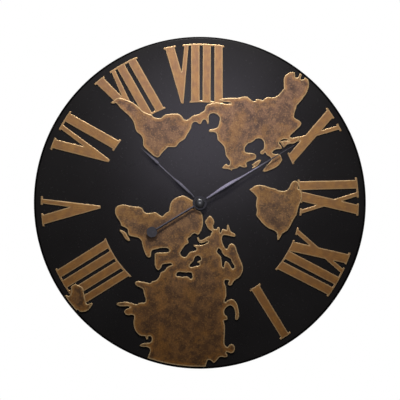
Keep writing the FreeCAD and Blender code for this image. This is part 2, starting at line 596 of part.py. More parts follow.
reverse_phase = mate_phase(cannon_teeth, 0, reverse_angle, reverse_teeth)
hour_phase = mate_phase(reverse_pinion_teeth, 0, reverse_angle + 180, hour_teeth)
knob_phase = mate_phase(reverse_teeth, reverse_phase, knob_angle, knob_teeth)
third_phase = mate_phase(minute_teeth, 0, third_angle, third_pinion_teeth)
second_phase = mate_phase(third_teeth, 0, second_angle, second_pinion_teeth)
intermediate_phase = mate_phase(second_teeth, 0, intermediate_angle, intermediate_pinion_teeth)
rotor_phase = mate_phase(intermediate_teeth, 0, rotor_angle, rotor_pinion_teeth)
minute_tip = minute_teeth * train_module / 2 + tip_share * train_module


# The case round the cell and the wheels, and the places of the posts in it

coil_height = rotor_place[1]
stator_hole = magnet_radius + magnet_gap
stator_ring = stator_hole + stator_ring_width
cell_half = (cell_length + cell_nub_length) / 2
half_inside = max(cell_half + contact_gap + contact_bow + contact_thickness + case_fit / 2,
                  coil_height + stator_ring + stator_case_gap)
half_case = half_inside + case_wall
partition_top = -minute_tip - partition_gap
partition_bottom = partition_top - case_wall
bay_bottom = partition_bottom - 2 * (cell_radius + cell_side_gap)
case_bottom = bay_bottom - case_wall
cell_height = (partition_bottom + bay_bottom) / 2

plate_side = half_inside - case_fit
plate_post_side = plate_side - 2 * post_radius
plate_bottom = partition_top + case_fit
plate_top = half_inside - 2 * case_fit
plate_step_left = -coil_right_end + core_clearance
plate_step_top = coil_height - bobbin_flange_radius - coil_clearance
plate_posts = (
    (-plate_post_side, plate_bottom + 2 * post_radius),
    (plate_post_side, plate_bottom + 2 * post_radius),
    (plate_post_side, plate_top - 2 * post_radius),
    (-plate_post_side, plate_step_top - 2 * post_radius))
bridge_left = plate_step_left + 2 * case_fit
bridge_bottom = third_place[1] - 2 * pivot_boss_radius
bridge_posts = (
    (plate_post_side, bridge_bottom + post_radius),
    (plate_post_side, plate_top - 2 * post_radius),
    (bridge_left + post_radius, plate_top - post_radius - case_fit))

coil_left = -coil_right_end - coil_length - 2 * bobbin_flange_thickness
stator_left = coil_left - core_clearance - stator_foot_width
stator_top = coil_height - stator_strip_drop + stator_strip_width
stator_middle = stator_top - stator_strip_width / 2
stator_bosses = (
    (stator_left + 2 * stator_foot_width, stator_middle),
    (0, stator_middle),
    (rotor_place[0], rotor_place[1] + (stator_hole + stator_ring) / 2))

board_left = -half_inside + board_left_margin
board_right = -minute_tip
board_bottom = partition_top + board_bottom_gap
board_top = coil_height - bobbin_flange_radius - board_coil_gap
board_posts = (
    (board_left + standoff_inset, board_top - standoff_inset),
    (board_left + standoff_inset, board_bottom + standoff_rise),
    (board_right - standoff_inset, board_bottom + standoff_rise))


# Dial pan: flat face, rounded edge, rim to the wall and a lip that turns inward

def pan_profile():
    turn = math.radians(45)
    outer = pan_edge_radius
    inner = pan_edge_radius - pan_sheet
    middle_radius = dial_radius - outer
    middle_depth = pan_depth - outer
    hole = bush_radius + bush_hole_clearance

    def spot(radius, depth):
        return at(radius, depth, 0)

    def arc(size):
        return Part.Arc(spot(middle_radius, middle_depth + size),
                        spot(middle_radius + size * math.sin(turn), middle_depth + size * math.cos(turn)),
                        spot(middle_radius + size, middle_depth)).toShape()

    def line(start, end):
        return Part.makeLine(spot(*start), spot(*end))

    rim = dial_radius - pan_sheet
    lip = dial_radius - pan_lip_width
    return Part.Wire([
        line((hole, pan_depth), (middle_radius, pan_depth)),
        arc(outer),
        line((dial_radius, middle_depth), (dial_radius, 0)),
        line((dial_radius, 0), (lip, 0)),
        line((lip, 0), (lip, pan_sheet)),
        line((lip, pan_sheet), (rim, pan_sheet)),
        line((rim, pan_sheet), (rim, middle_depth)),
        arc(inner),
        line((middle_radius, dial_back), (hole, dial_back)),
        line((hole, dial_back), (hole, pan_depth))])


shapes["dial_pan"] = Part.Face(pan_profile()).revolve(at(0, 0, 0), FreeCAD.Vector(0, 1, 0), 360)


# Numerals

def numeral(name):
    back = pan_depth
    front = pan_depth + numeral_sheet

    def serif(radii, sides):
        low, high = (dial_radius * share for share in radii)
        ring = rod(high, back, front).cut(rod(low, back, front))
        left, right = (dial_radius * share for share in sides)
        return ring.common(block(left, right, back, front, 0, dial_radius))

    pieces = [slab([(dial_radius * u, dial_radius * w) for u, w in stroke], back, front)
              for stroke in stroke_shares[name]]
    pieces += [serif(serif_outer_shares, sides) for sides in outer_serif_shares[name]]
    pieces += [serif(serif_inner_shares, sides) for sides in inner_serif_shares[name]]
    solid = fused(*pieces) if len(pieces) > 1 else pieces[0]
    return turned(solid, 360 * numeral_turn_shares[name])


for name in numeral_turn_shares:
    shapes[name] = numeral(name)


# Map plates

def mille(points):
    return [(dial_radius * x / 1000, dial_radius * z / 1000) for x, z in points]


def map_plate(name, holes=()):
    plate = slab(mille(outline_mille_shares[name]), map_back, map_front)
    for hole in holes:
        plate = plate.cut(slab(mille(hole), map_back, map_front))
    plate = plate.common(rod(dial_radius - map_edge_margin, map_back, map_front))
    pads = [rod(pad_radius, pan_depth, map_back, spot) for spot in mille(pad_mille_shares.get(name, ()))]
    pads += [rod(small_pad_radius, pan_depth, map_back, spot)
             for spot in mille(small_pad_mille_shares.get(name, ()))]
    return fused(plate, *pads)


for name in outline_mille_shares:
    shapes[name] = map_plate(name, sea_mille_shares.get(name, ()))


# Hanger bracket

def hanger_bracket():
    bottom = hanger_centre_height - hanger_height / 2
    top = hanger_centre_height + hanger_height / 2
    side = hanger_width / 2
    front = dial_back
    back = hanger_off_wall
    solid = fused(
        block(-side, side, back, back + hanger_sheet, bottom, top),
        block(-side, -side + hanger_sheet, back, front, bottom, top),
        block(side - hanger_sheet, side, back, front, bottom, top),
        block(-side - hanger_flange, -side + hanger_sheet, front - hanger_sheet, front, bottom, top),
        block(side - hanger_sheet, side + hanger_flange, front - hanger_sheet, front, bottom, top))
    keyhole = rod(keyhole_radius, 0, front, (0, hanger_centre_height))
    slot_top = hanger_centre_height + keyhole_slot_height
    slot = block(-keyhole_slot_width / 2, keyhole_slot_width / 2, 0, front - hanger_sheet,
                 hanger_centre_height, slot_top)
    slot_end = rod(keyhole_slot_width / 2, 0, front - hanger_sheet, (0, slot_top))
    return solid.cut(fused(keyhole, slot, slot_end))


shapes["hanger_bracket"] = hanger_bracket()


# Movement case: a front shell with a bay for the cell below a partition, and a back plate

def rounded_block(side, back, front, bottom, top, corner):
    solid = block(-side, side, back, front, bottom, top)
    edges = [edge for edge in solid.Edges if edge.Vertexes[0].X == edge.Vertexes[1].X
             and edge.Vertexes[0].Z == edge.Vertexes[1].Z]
    return solid.makeFillet(corner, edges)


def case_front():
    shell = rounded_block(half_case, case_rear, case_face, case_bottom, half_case, case_corner_radius)
    shell = shell.cut(rounded_block(half_inside, case_rear - case_wall, case_inside, bay_bottom, half_inside,
                                    case_corner_radius - case_wall))
    partition = block(-half_inside, half_inside, case_rear + back_plate_thickness, case_inside,
                      partition_bottom, partition_top)
    posts = [rod(post_radius, plate_front, case_inside, place) for place in plate_posts]
    bosses = [rod(pivot_boss_radius, case_inside - bearing_depth, case_inside, place)
              for place in (reverse_place, knob_place)]
    shell = fused(shell, partition, *(posts + bosses))
    shell = shell.cut(rod(bush_radius + bush_hole_clearance, case_inside, case_face))
    for place in (reverse_place, knob_place):
        shell = shell.cut(rod(pivot_radius + pivot_clearance, case_inside - bearing_depth,
                              case_inside + bearing_depth, place))
    reach = half_inside - 2 * contact_thickness
    for side in (-1, 1):
        ends = sorted((side * reach, side * half_inside))
        shell = shell.cut(block(ends[0], ends[1], board_front - case_fit,
                                board_front + contact_tongue + case_fit,
                                partition_bottom, partition_top))
    return shell


shapes["case_front"] = case_front()


def case_back():
    rear = case_rear
    front = case_rear + back_plate_thickness
    side = half_inside - case_fit
    solid = rounded_block(side, rear, front, bay_bottom, side, case_corner_radius - case_wall)
    solid = solid.common(block(-side, side, rear, front, partition_bottom, side))
    legs = [rod(post_radius - case_fit, front, bridge_back, place) for place in bridge_posts]
    solid = fused(solid, *legs)
    return solid.cut(rod(knob_arbor_radius + pivot_clearance, rear, front, knob_place))


shapes["case_back"] = case_back()

shapes["rubber_gasket"] = rounded_block(
    half_case - gasket_margin, case_face, dial_back, case_bottom + gasket_margin, half_case - gasket_margin,
    case_corner_radius).cut(
    rod(bush_radius + bush_hole_clearance, case_face, dial_back))


def threaded_bush():
    flange = rod(motion_distance - pivot_boss_radius - bush_flange_gap, flange_back, case_inside)
    barrel = rod(bush_radius, flange_back, bush_front)
    return fused(flange, barrel).cut(rod(hour_pipe_radius + pipe_clearance, flange_back, bush_front))


shapes["threaded_bush"] = threaded_bush()

shapes["dial_washer"] = rod(washer_radius, pan_depth, washer_front).cut(
    rod(bush_radius, pan_depth, washer_front))


def hex_nut():
    corner = nut_across_flats / 2 / math.cos(math.radians(30))
    points = [beside(centre, corner, 60 * side) for side in range(6)]
    return slab(points, washer_front, nut_front).cut(rod(bush_radius, washer_front, nut_front))


shapes["hex_nut"] = hex_nut()


# Gear plate and train bridge, with a bearing hole at each pivot

def gear_plate():
    outline = [(-plate_side, plate_bottom), (plate_side, plate_bottom), (plate_side, plate_top),
               (plate_step_left, plate_top), (plate_step_left, plate_step_top),
               (-plate_side, plate_step_top)]
    solid = slab(outline, plate_back, plate_front)
    solid = solid.common(rounded_block(plate_side, plate_back, plate_front, bay_bottom, plate_side,
                                       case_corner_radius))
    bosses = [rod(boss_radius, stator_front, plate_back, place) for place in stator_bosses]
    posts = [rod(standoff_radius, board_front, plate_back, place) for place in board_posts]
    solid = fused(solid, *(bosses + posts))
    solid = solid.cut(rod(arbor_rear_radius + arbor_clearance, plate_back, plate_front))
    solid = solid.cut(rod(knob_arbor_radius + pivot_clearance, plate_back, plate_front, knob_place))
    for place in (reverse_place, third_place, second_place, intermediate_place, rotor_place):
        solid = solid.cut(rod(pivot_radius + pivot_clearance, plate_back, plate_front, place))
    return solid


shapes["gear_plate"] = gear_plate()


def train_bridge():
    solid = block(bridge_left, plate_side, bridge_back, bridge_front, bridge_bottom, plate_top)
    solid = solid.common(rounded_block(plate_side, bridge_back, bridge_front, bay_bottom, plate_side,
                                       case_corner_radius))
    posts = [rod(post_radius, bridge_front, plate_back, place) for place in bridge_posts]
    solid = fused(solid, *posts)
    for place in (third_place, second_place, intermediate_place, rotor_place):
        solid = solid.cut(rod(pivot_radius + pivot_clearance, bridge_back, bridge_front, place))
    return solid


shapes["train_bridge"] = train_bridge()


# Motion work

hour_bore = arbor_radius + arbor_clearance

shapes["minute_arbor"] = fused(
    gear(cannon_teeth, motion_module, cannon_back, cannon_front, centre, 0),
    rod(arbor_radius, cannon_front, hub_front),
    rod(arbor_rear_radius, minute_back - mesh_overhang, cannon_back))
shapes["minute_wheel"] = gear(minute_teeth, train_module, minute_back, minute_front, centre, 0).cut(
    rod(arbor_rear_radius, minute_back, minute_front))
shapes["hour_wheel"] = fused(
    gear(hour_teeth, hour_module, hour_wheel_back, hour_wheel_front, centre, hour_phase),
    rod(hour_pipe_radius, hour_wheel_back, hour_pipe_front)).cut(
    rod(hour_bore, hour_wheel_back, hour_pipe_front))
shapes["reverse_wheel"] = fused(
    gear(reverse_teeth, motion_module, reverse_back, reverse_front, reverse_place, reverse_phase),
    gear(reverse_pinion_teeth, hour_module, reverse_front, hour_wheel_front, reverse_place, 0),
    rod(pivot_radius, plate_back, case_inside + bearing_depth - pivot_clearance, reverse_place))


def setting_knob():
    back = case_rear - axial_play - knob_thickness
    front = case_rear - axial_play
    knob = rod(knob_radius, back, front, knob_place)
    flutes = [rod(knob_flute_radius, back, front, beside(knob_place, knob_radius, 360 * k / knob_flutes))
              for k in range(knob_flutes)]
    knob = knob.cut(flutes)
    return fused(
        knob,
        rod(knob_arbor_radius, front, cannon_back, knob_place),
        gear(knob_teeth, motion_module, cannon_back, cannon_front, knob_place, knob_phase),
        rod(pivot_radius, cannon_front, case_inside + bearing_depth - pivot_clearance, knob_place))


shapes["setting_knob"] = setting_knob()


# Going train

def train_wheel(teeth, module, back, front, pinion_teeth, pinion_module, pinion_back, pinion_front, place,
                pinion_phase):
    wheel = gear(teeth, module, back, front, place, 0)
    pinion = gear(pinion_teeth, pinion_module, pinion_back, pinion_front, place, pinion_phase)
    return fused(wheel, pinion, rod(pivot_radius, bridge_back, plate_front, place))


shapes["third_wheel"] = train_wheel(
    third_teeth, third_module, third_back, third_front,
    third_pinion_teeth, train_module, third_front, minute_front + half_overhang, third_place, third_phase)
shapes["second_wheel"] = train_wheel(
    second_teeth, second_module, second_back, second_front,
    second_pinion_teeth, third_module, second_front, third_front + half_overhang, second_place,
    second_phase)
shapes["intermediate_wheel"] = train_wheel(
    intermediate_teeth, rotor_module, intermediate_back, intermediate_front,
    intermediate_pinion_teeth, second_module, intermediate_front, second_front + half_overhang,
    intermediate_place, intermediate_phase)

shapes["rotor"] = fused(
    rod(pivot_radius, bridge_back, plate_front, rotor_place),
    gear(rotor_pinion_teeth, rotor_module, intermediate_back - half_overhang, magnet_back, rotor_place,
         rotor_phase))
shapes["rotor_magnet"] = rod(magnet_radius, magnet_back, magnet_front, rotor_place).cut(
    rod(pivot_radius, magnet_back, magnet_front, rotor_place))


# Motor: stator plate round the rotor, core strip through the coil

def stator_plate():
    strip = block(stator_left, rotor_place[0], stator_back, stator_front,
                  stator_top - stator_strip_width, stator_top)
    foot = block(stator_left, stator_left + stator_foot_width, stator_back, stator_front,
                 stator_top - stator_strip_width, coil_height + coil_core_width / 2)
    ring = rod(stator_ring, stator_back, stator_front, rotor_place)
    solid = fused(strip, foot, ring)
    return solid.cut(rod(stator_hole, stator_back, stator_front, rotor_place))


shapes["stator_plate"] = stator_plate()

core_right = rotor_place[0] - stator_hole - stator_ring_width / 3
shapes["coil_core"] = block(
    stator_left, core_right, core_back, core_front,
    coil_height - coil_core_width / 2, coil_height + coil_core_width / 2)


def lying_rod(radius, left, right):
    return Part.makeCylinder(radius, right - left, at(left, core_middle, coil_height),
                             FreeCAD.Vector(1, 0, 0))


def coil_bobbin():
    left_flange = lying_rod(bobbin_flange_radius, coil_left, coil_left + bobbin_flange_thickness)
    right_flange = lying_rod(bobbin_flange_radius, -coil_right_end - bobbin_flange_thickness, -coil_right_end)
    tube = lying_rod(coil_tube_radius, coil_left, -coil_right_end)
    half = coil_core_width / 2
    opening = block(coil_left, -coil_right_end, core_back, core_front,
                    coil_height - half, coil_height + half)
    return fused(left_flange, tube, right_flange).cut(opening)


shapes["coil_bobbin"] = coil_bobbin()
shapes["coil_winding"] = lying_rod(
    coil_radius, coil_left + bobbin_flange_thickness, -coil_right_end - bobbin_flange_thickness).cut(
    lying_rod(coil_tube_radius, coil_left, -coil_right_end))


# Circuit board with chip and crystal

shapes["circuit_board"] = block(
    board_left, board_right, board_back, board_front, board_bottom, board_top).cut(
    rod(knob_arbor_radius + board_hole_clearance, board_back, board_front, knob_place))
chip_left = board_left + standoff_inset + standoff_radius + chip_width / 4
chip_bottom = board_bottom + chip_width / 2
shapes["chip"] = block(
    chip_left, chip_left + chip_width, board_front, board_front + chip_thickness,
    chip_bottom, chip_bottom + chip_width)
crystal_left = chip_left + chip_width + 2 * crystal_radius
shapes["quartz_crystal"] = Part.makeCylinder(
    crystal_radius, crystal_length,
    at(crystal_left, board_front + crystal_radius, chip_bottom + crystal_radius), FreeCAD.Vector(0, 0, 1))


# Battery cell and contacts

def battery_cell():
    left = -cell_half
    can = Part.makeCylinder(cell_radius, cell_length, at(left, cell_middle, cell_height),
                            FreeCAD.Vector(1, 0, 0))
    can = can.makeFillet(cell_edge_radius, [edge for edge in can.Edges if edge.isClosed()])
    nub = Part.makeCylinder(cell_nub_radius, cell_nub_length,
                            at(left + cell_length, cell_middle, cell_height), FreeCAD.Vector(1, 0, 0))
    return fused(can, nub)


shapes["battery_cell"] = battery_cell()

strip_bottom = partition_top + case_fit


def contact(side, run_end, tab_end):
    """Bowed leaf at the end of the cell, a tongue through the partition, a strip to the board."""
    outer = half_inside - case_fit / 2
    inner = outer - contact_thickness
    bow = inner - cell_half - contact_gap
    low = cell_height - contact_width / 2
    high = cell_height + contact_width / 2
    outline = [(outer, partition_bottom), (outer, high), (outer - bow, cell_height), (outer, low),
               (inner, low), (inner - bow, cell_height), (inner, high), (inner, partition_bottom)]
    leaf_spring = slab([(side * x, z) for x, z in outline], contact_back, contact_front)
    edges = sorted((side * outer, side * inner))
    tongue = block(edges[0], edges[1], board_front, board_front + contact_tongue,
                   partition_bottom, strip_bottom + contact_thickness)
    edges = sorted((side * outer, run_end))
    strip = block(edges[0], edges[1], board_front, board_front + contact_tongue,
                  strip_bottom, strip_bottom + contact_thickness)
    edges = sorted((run_end, tab_end))
    tab = block(edges[0], edges[1], board_front, board_front + contact_thickness,
                strip_bottom, board_bottom + contact_tab)
    return fused(leaf_spring, tongue, strip, tab)


shapes["contact_plus"] = contact(1, board_right, board_right - contact_width / 4)
shapes["contact_minus"] = contact(-1, board_left, board_left + contact_width / 4)


# Hands

def leaf(stations, length, half_width, back):
    """Flat blank with a ridge along its middle; it points up and is turned afterwards."""
    places = [(length * along, half_width * wide) for along, wide in stations]
    outline = [(wide, along) for along, wide in places] + [(-wide, along) for along, wide in reversed(places)]
    blank = slab(outline, back, back + hand_sheet)
    front = back + hand_sheet
    faces = []
    for (low, low_wide), (high, high_wide) in zip(places, places[1:]):
        low_ridge = at(0, front + ridge_share * low_wide, low)
        high_ridge = at(0, front + ridge_share * high_wide, high)
        for side in (-1, 1):
            corners = [at(side * low_wide, front, low), low_ridge, high_ridge,
                       at(side * high_wide, front, high)]
            faces.append(Part.Face(Part.makePolygon(corners + corners[:1])))
    for along, wide in (places[0], places[-1]):
        corners = [at(-wide, front, along), at(0, front + ridge_share * wide, along), at(wide, front, along)]
        faces.append(Part.Face(Part.makePolygon(corners + corners[:1])))
    corners = [at(x, front, z) for x, z in outline]
    faces.append(Part.Face(Part.makePolygon(corners + corners[:1])))
    roof = Part.Solid(Part.makeShell(faces))
    if roof.Volume < 0:
        roof.reverse()
    return fused(blank, roof)


def hour_hand():
    back = hour_hand_back
    front = back + hand_sheet
    solid = fused(leaf(hour_leaf_shares, hour_hand_length, hour_half_width, back),
                  rod(hour_boss_radius, back, front))
    ridge_top = front + ridge_share * hour_half_width
    half = slot_width / 2
    slot = fused(block(-half, half, back, ridge_top, slot_start, slot_start + slot_length),
                 rod(half, back, ridge_top, (0, slot_start)),
                 rod(half, back, ridge_top, (0, slot_start + slot_length)))
    solid = solid.cut(slot).cut(rod(hour_pipe_radius, back, ridge_top))
    return turned(solid, hour_hand_angle)


def minute_hand():
    back = minute_hand_back
    front = back + hand_sheet
    tail = block(-tail_half_width, tail_half_width, back, front, -tail_length, 0)
    solid = fused(leaf(minute_leaf_shares, minute_hand_length, minute_half_width, back),
                  rod(minute_boss_radius, back, front), tail,
                  rod(tail_disc_radius, back, front, (0, -tail_length)))
    solid = solid.cut(rod(arbor_radius, back, front + ridge_share * minute_half_width))
    return turned(solid, minute_hand_angle)


shapes["hour_hand"] = hour_hand()
shapes["minute_hand"] = minute_hand()

shapes["hour_collet"] = rod(hour_pipe_radius + collet_wall, hour_collet_back, hour_hand_back).cut(
    rod(hour_pipe_radius, hour_collet_back, hour_hand_back))
shapes["minute_collet"] = rod(arbor_radius + collet_wall, minute_collet_back, minute_hand_back).cut(
    rod(arbor_radius, minute_collet_back, minute_hand_back))


def cap_nut():
    """Low dome, open in the middle, where the end of the arbor shows."""
    base = minute_hand_front
    rim = base + cap_rim_height
    top = base + cap_height
    turn_radius = cap_radius - cap_top_radius
    rise = top - rim
    turn = math.radians(45)
    dome = Part.Arc(
        at(cap_radius, rim, 0),
        at(cap_top_radius + turn_radius * math.cos(turn), rim + rise * math.sin(turn), 0),
        at(cap_top_radius, top, 0)).toShape()
    wire = Part.Wire([
        Part.makeLine(at(arbor_radius, base, 0), at(cap_radius, base, 0)),
        Part.makeLine(at(cap_radius, base, 0), at(cap_radius, rim, 0)),
        dome,
        Part.makeLine(at(cap_top_radius, top, 0), at(arbor_radius, top, 0)),
        Part.makeLine(at(arbor_radius, top, 0), at(arbor_radius, base, 0))])
    return Part.Face(wire).revolve(at(0, 0, 0), FreeCAD.Vector(0, 1, 0), 360)


shapes["cap_nut"] = cap_nut()


# One file for each piece

os.makedirs("parts", exist_ok=True)
for name, shape in shapes.items():
    solids = shape.Solids
    if len(solids) != 1 or not shape.isValid():
        print("look at", name, "solids", len(solids), "valid", shape.isValid())
    solids[0].exportStep("parts/" + name + ".step")
print(len(shapes), "pieces")
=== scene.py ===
import math

import bpy
import numpy as np
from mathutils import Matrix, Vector, geometry


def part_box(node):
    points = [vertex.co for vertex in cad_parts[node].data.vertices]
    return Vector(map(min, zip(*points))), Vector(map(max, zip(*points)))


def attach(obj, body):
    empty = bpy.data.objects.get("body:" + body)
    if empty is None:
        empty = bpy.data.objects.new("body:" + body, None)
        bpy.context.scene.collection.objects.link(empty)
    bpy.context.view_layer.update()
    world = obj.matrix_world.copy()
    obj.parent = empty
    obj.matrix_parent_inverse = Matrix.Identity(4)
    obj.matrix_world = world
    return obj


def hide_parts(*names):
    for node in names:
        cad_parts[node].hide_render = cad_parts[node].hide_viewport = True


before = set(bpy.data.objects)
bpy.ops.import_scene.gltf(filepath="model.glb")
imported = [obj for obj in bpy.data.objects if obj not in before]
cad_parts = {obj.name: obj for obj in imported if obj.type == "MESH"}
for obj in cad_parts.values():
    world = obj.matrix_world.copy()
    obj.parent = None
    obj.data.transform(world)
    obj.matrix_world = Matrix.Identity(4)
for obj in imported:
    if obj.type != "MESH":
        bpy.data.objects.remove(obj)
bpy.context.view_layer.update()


# Dial pan
# A round pan spun from 1.2 mm sheet steel, with a rounded edge, a rim that reaches the wall and a lip
# turned in behind. It is powder coated satin black, and everything else is fixed to it. The rounded edge
# is painted darker and metallic, a painted shade that keeps the lamps' reflection dim there.

class Wire:
    """A number on its way through a finish. Arithmetic on it adds Math nodes."""

    def __init__(self, nodes, socket):
        self.nodes = nodes
        self.socket = socket

    def math(self, operation, *values):
        return self.nodes.add("ShaderNodeMath", {"operation": operation}, dict(enumerate(values)))

    def __add__(self, other):
        return self.math("ADD", self, other)

    def __radd__(self, other):
        return self.math("ADD", other, self)

    def __sub__(self, other):
        return self.math("SUBTRACT", self, other)

    def __rsub__(self, other):
        return self.math("SUBTRACT", other, self)

    def __mul__(self, other):
        return self.math("MULTIPLY", self, other)

    def __rmul__(self, other):
        return self.math("MULTIPLY", other, self)

    def __truediv__(self, other):
        return self.math("DIVIDE", self, other)

    def __pow__(self, other):
        return self.math("POWER", self, other)

    def step(self, low, high):
        """0 below low, 1 above high, and a smooth rise between them."""
        return self.nodes.add("ShaderNodeMapRange", {"interpolation_type": "SMOOTHSTEP"},
                              {"Value": self, "From Min": low, "From Max": high})


class Nodes:
    """The nodes of a material or of the room round the clock."""

    def __init__(self, tree):
        self.tree = tree

    def add(self, kind, settings, values, out=0):
        """Adds one node: its settings first, then the values or links of its sockets."""
        node = self.tree.nodes.new(kind)
        for name, value in settings.items():
            setattr(node, name, value)
        for key, value in values.items():
            if isinstance(value, Wire):
                self.tree.links.new(value.socket, node.inputs[key])
            else:
                node.inputs[key].default_value = value
        return Wire(self, node.outputs[out])

    def kinds_of_ray(self):
        """1 or 0 for a ray from the camera, a mirrored ray and a ray through glass."""
        return [self.add("ShaderNodeLightPath", {}, {}, f"Is {kind} Ray")
                for kind in ("Camera", "Glossy", "Transmission")]


class Finish(Nodes):
    """A surface finish. Values that are even all over go straight onto the shader's own sockets."""

    def __init__(self, name, even):
        self.material = bpy.data.materials.new(name)
        self.material.use_nodes = True
        super().__init__(self.material.node_tree)
        self.shader = self.tree.nodes["Principled BSDF"]
        for socket, value in even.items():
            self.shader.inputs[socket].default_value = value

    def place(self):
        return self.add("ShaderNodeTexCoord", {}, {}, "Object")

    def axes(self):
        """The three coordinates of the place on the object, in metres."""
        return [self.add("ShaderNodeSeparateXYZ", {}, {"Vector": self.place()}, axis) for axis in "XYZ"]

    def noise(self, size, detail=3, where=None, seed=0.0):
        """Cloudy noise from 0 to 1 whose blotches are about size metres across."""
        place = self.add("ShaderNodeVectorMath", {"operation": "ADD"},
                         {0: where or self.place(), 1: (seed,) * 3})
        return self.add("ShaderNodeTexNoise", {}, {"Vector": place, "Scale": 1 / size, "Detail": detail})

    def mix(self, share, first, second, blend="MIX"):
        """The second colour over the first where share is 1, or the first times the second for MULTIPLY."""
        colours = [c if isinstance(c, Wire) else (*c, 1) for c in (first, second)]
        return self.add("ShaderNodeMix", {"data_type": "RGBA", "blend_type": blend},
                        {0: share, 6: colours[0], 7: colours[1]}, 2)

    def paint(self, socket, wire):
        self.tree.links.new(wire.socket, self.shader.inputs[socket])

    def emboss(self, height, depth):
        """Raises the surface by height times depth metres."""
        self.paint("Normal", self.add("ShaderNodeBump", {}, {"Height": height, "Distance": depth}, "Normal"))


def finish_nodes(finish, *names):
    for name in names:
        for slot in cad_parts[name].material_slots:
            slot.material = finish.material


def new_piece(name, points, faces, finish, sharp_above=40):
    """A mesh piece from its points and faces, smooth except at edges sharper than the given angle."""
    mesh = bpy.data.meshes.new(name)
    mesh.from_pydata(points, [], faces)
    mesh.materials.append(finish.material)
    mesh.shade_smooth()
    mesh.set_sharp_from_angle(angle=math.radians(sharp_above))
    piece = bpy.data.objects.new(name, mesh)
    bpy.context.scene.collection.objects.link(piece)
    return piece


def round_corner(middle, radius, start, end, steps):
    """Points on an arc: middle + radius * (cosine, sine) of angles from start to end."""
    angle = np.radians(np.linspace(start, end, steps))
    return np.column_stack([middle[0] + radius * np.cos(angle), middle[1] + radius * np.sin(angle)])


def turned_piece(name, profile, steps, finish):
    """A closed profile of (radius, depth) carried round the axis of the hands:
    x = radius * sin(a), y = -depth, z = radius * cos(a)."""
    a = np.linspace(0, 2 * np.pi, steps, endpoint=False)[:, None]
    radius, depth = profile.T
    points = np.stack([radius * np.sin(a), np.broadcast_to(-depth, (steps, len(depth))),
                       radius * np.cos(a)], -1)
    row, column = np.meshgrid(np.arange(steps), np.arange(len(profile)), indexing="ij")
    next_row, next_column = (row + 1) % steps, (column + 1) % len(profile)
    corners = np.stack([row * len(profile) + column, next_row * len(profile) + column,
                        next_row * len(profile) + next_column, row * len(profile) + next_column], -1)
    return new_piece(name, points.reshape(-1, 3), corners.reshape(-1, 4), finish)


dial_radius = 0.3
pan_depth = 0.026
pan_sheet = 0.0012
pan_edge_radius = 0.004
pan_lip_width = 0.007
pan_hole = 0.00415
face_rings = 24

powder_coat = Finish("satin_black_powder_coat", {"Specular IOR Level": 0.3})
cloud = powder_coat.noise(0.11, 4)
orange_peel = powder_coat.noise(0.0011, 2)
dust = powder_coat.noise(0.004, 5, seed=3.0).step(0.62, 0.8)
x, y, z = powder_coat.axes()
from_axis = (x * x + z * z) ** 0.5
behind_edge = y.step(-0.0245, -0.0225)
on_side = from_axis.step(0.2980, 0.2995) * behind_edge
painted_dark_edge = from_axis.step(0.2955, 0.2972) * (1 - behind_edge)
black = powder_coat.mix(cloud.step(0.3, 0.7), (0.0080, 0.0072, 0.0072), (0.0104, 0.0095, 0.0095))
black = powder_coat.mix(dust * 0.035, black, (0.060, 0.057, 0.055))
# Painted shade: the rounded edge is painted darker, with metal in the finish, so the lamps' reflection there
# stays dim.
powder_coat.paint("Base Color", powder_coat.mix(painted_dark_edge, black, (0.0020, 0.0018, 0.0018)))
powder_coat.paint("Roughness", 0.24 + 0.04 * cloud + 0.08 * dust + 0.40 * on_side + 0.06 * painted_dark_edge)
powder_coat.paint("Metallic", painted_dark_edge)
powder_coat.emboss(orange_peel, 0.00002)

edge_middle = (dial_radius - pan_edge_radius, pan_depth - pan_edge_radius)
rim_inside = dial_radius - pan_sheet
lip = dial_radius - pan_lip_width
face_radii = np.linspace(pan_hole, edge_middle[0], face_rings)
pan_profile = np.concatenate([
    np.column_stack([face_radii, np.full(face_rings, pan_depth)]),
    round_corner(edge_middle, pan_edge_radius, 90, 0, 13)[1:],
    [(dial_radius, pan_depth / 2), (dial_radius, 0), (lip, 0), (lip, pan_sheet), (rim_inside, pan_sheet)],
    round_corner(edge_middle, pan_edge_radius - pan_sheet, 0, 90, 9),
    [(pan_hole, pan_depth - pan_sheet)]])
pan = turned_piece("spun_dial_pan", pan_profile, 360, powder_coat)
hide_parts("dial_pan")
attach(pan, "root")


# Numerals
# Each numeral is cut from 2 mm sheet and stuck flat on the dial. Brown lacquer is brushed over gold paint,
# and the rounded edges are rubbed back to the bare gold. The lacquer is painted darker towards the foot of
# the dial, a painted shade, and cooler at the top, a painted sheen.

points_at_once = 400


def distance_to_outline(points, start, end):
    """Distance of each point to the nearest straight edge, worked out for all pairs in blocks."""
    along = end - start
    nearest = []
    for block in np.array_split(points, len(points) // points_at_once + 1):
        offset = block[:, None] - start
        share = np.clip((offset * along).sum(-1) / (along * along).sum(-1), 0, 1)
        nearest.append(np.sqrt(((offset - share[..., None] * along) ** 2).sum(-1).min(1)))
    return np.concatenate(nearest)


def inside_outline(points, start, end):
    """True where a ray from the point to the right crosses the outline an odd number of times."""
    inside = []
    for block in np.array_split(points, len(points) // points_at_once + 1):
        x, z = block[:, None, 0], block[:, None, 1]
        crosses = (start[:, 1] > z) != (end[:, 1] > z)
        rise = np.where(end[:, 1] == start[:, 1], 1, end[:, 1] - start[:, 1])
        at = start[:, 0] + (z - start[:, 1]) * (end[:, 0] - start[:, 0]) / rise
        inside.append((crosses & (x < at)).sum(1) % 2 == 1)
    return np.concatenate(inside)


outline_step = 0.0015
inner_pitch = 0.0026
inner_row = 0.87 * inner_pitch
inner_clear = 0.0028
point_grid = 0.0001
rub_reach = 0.0015


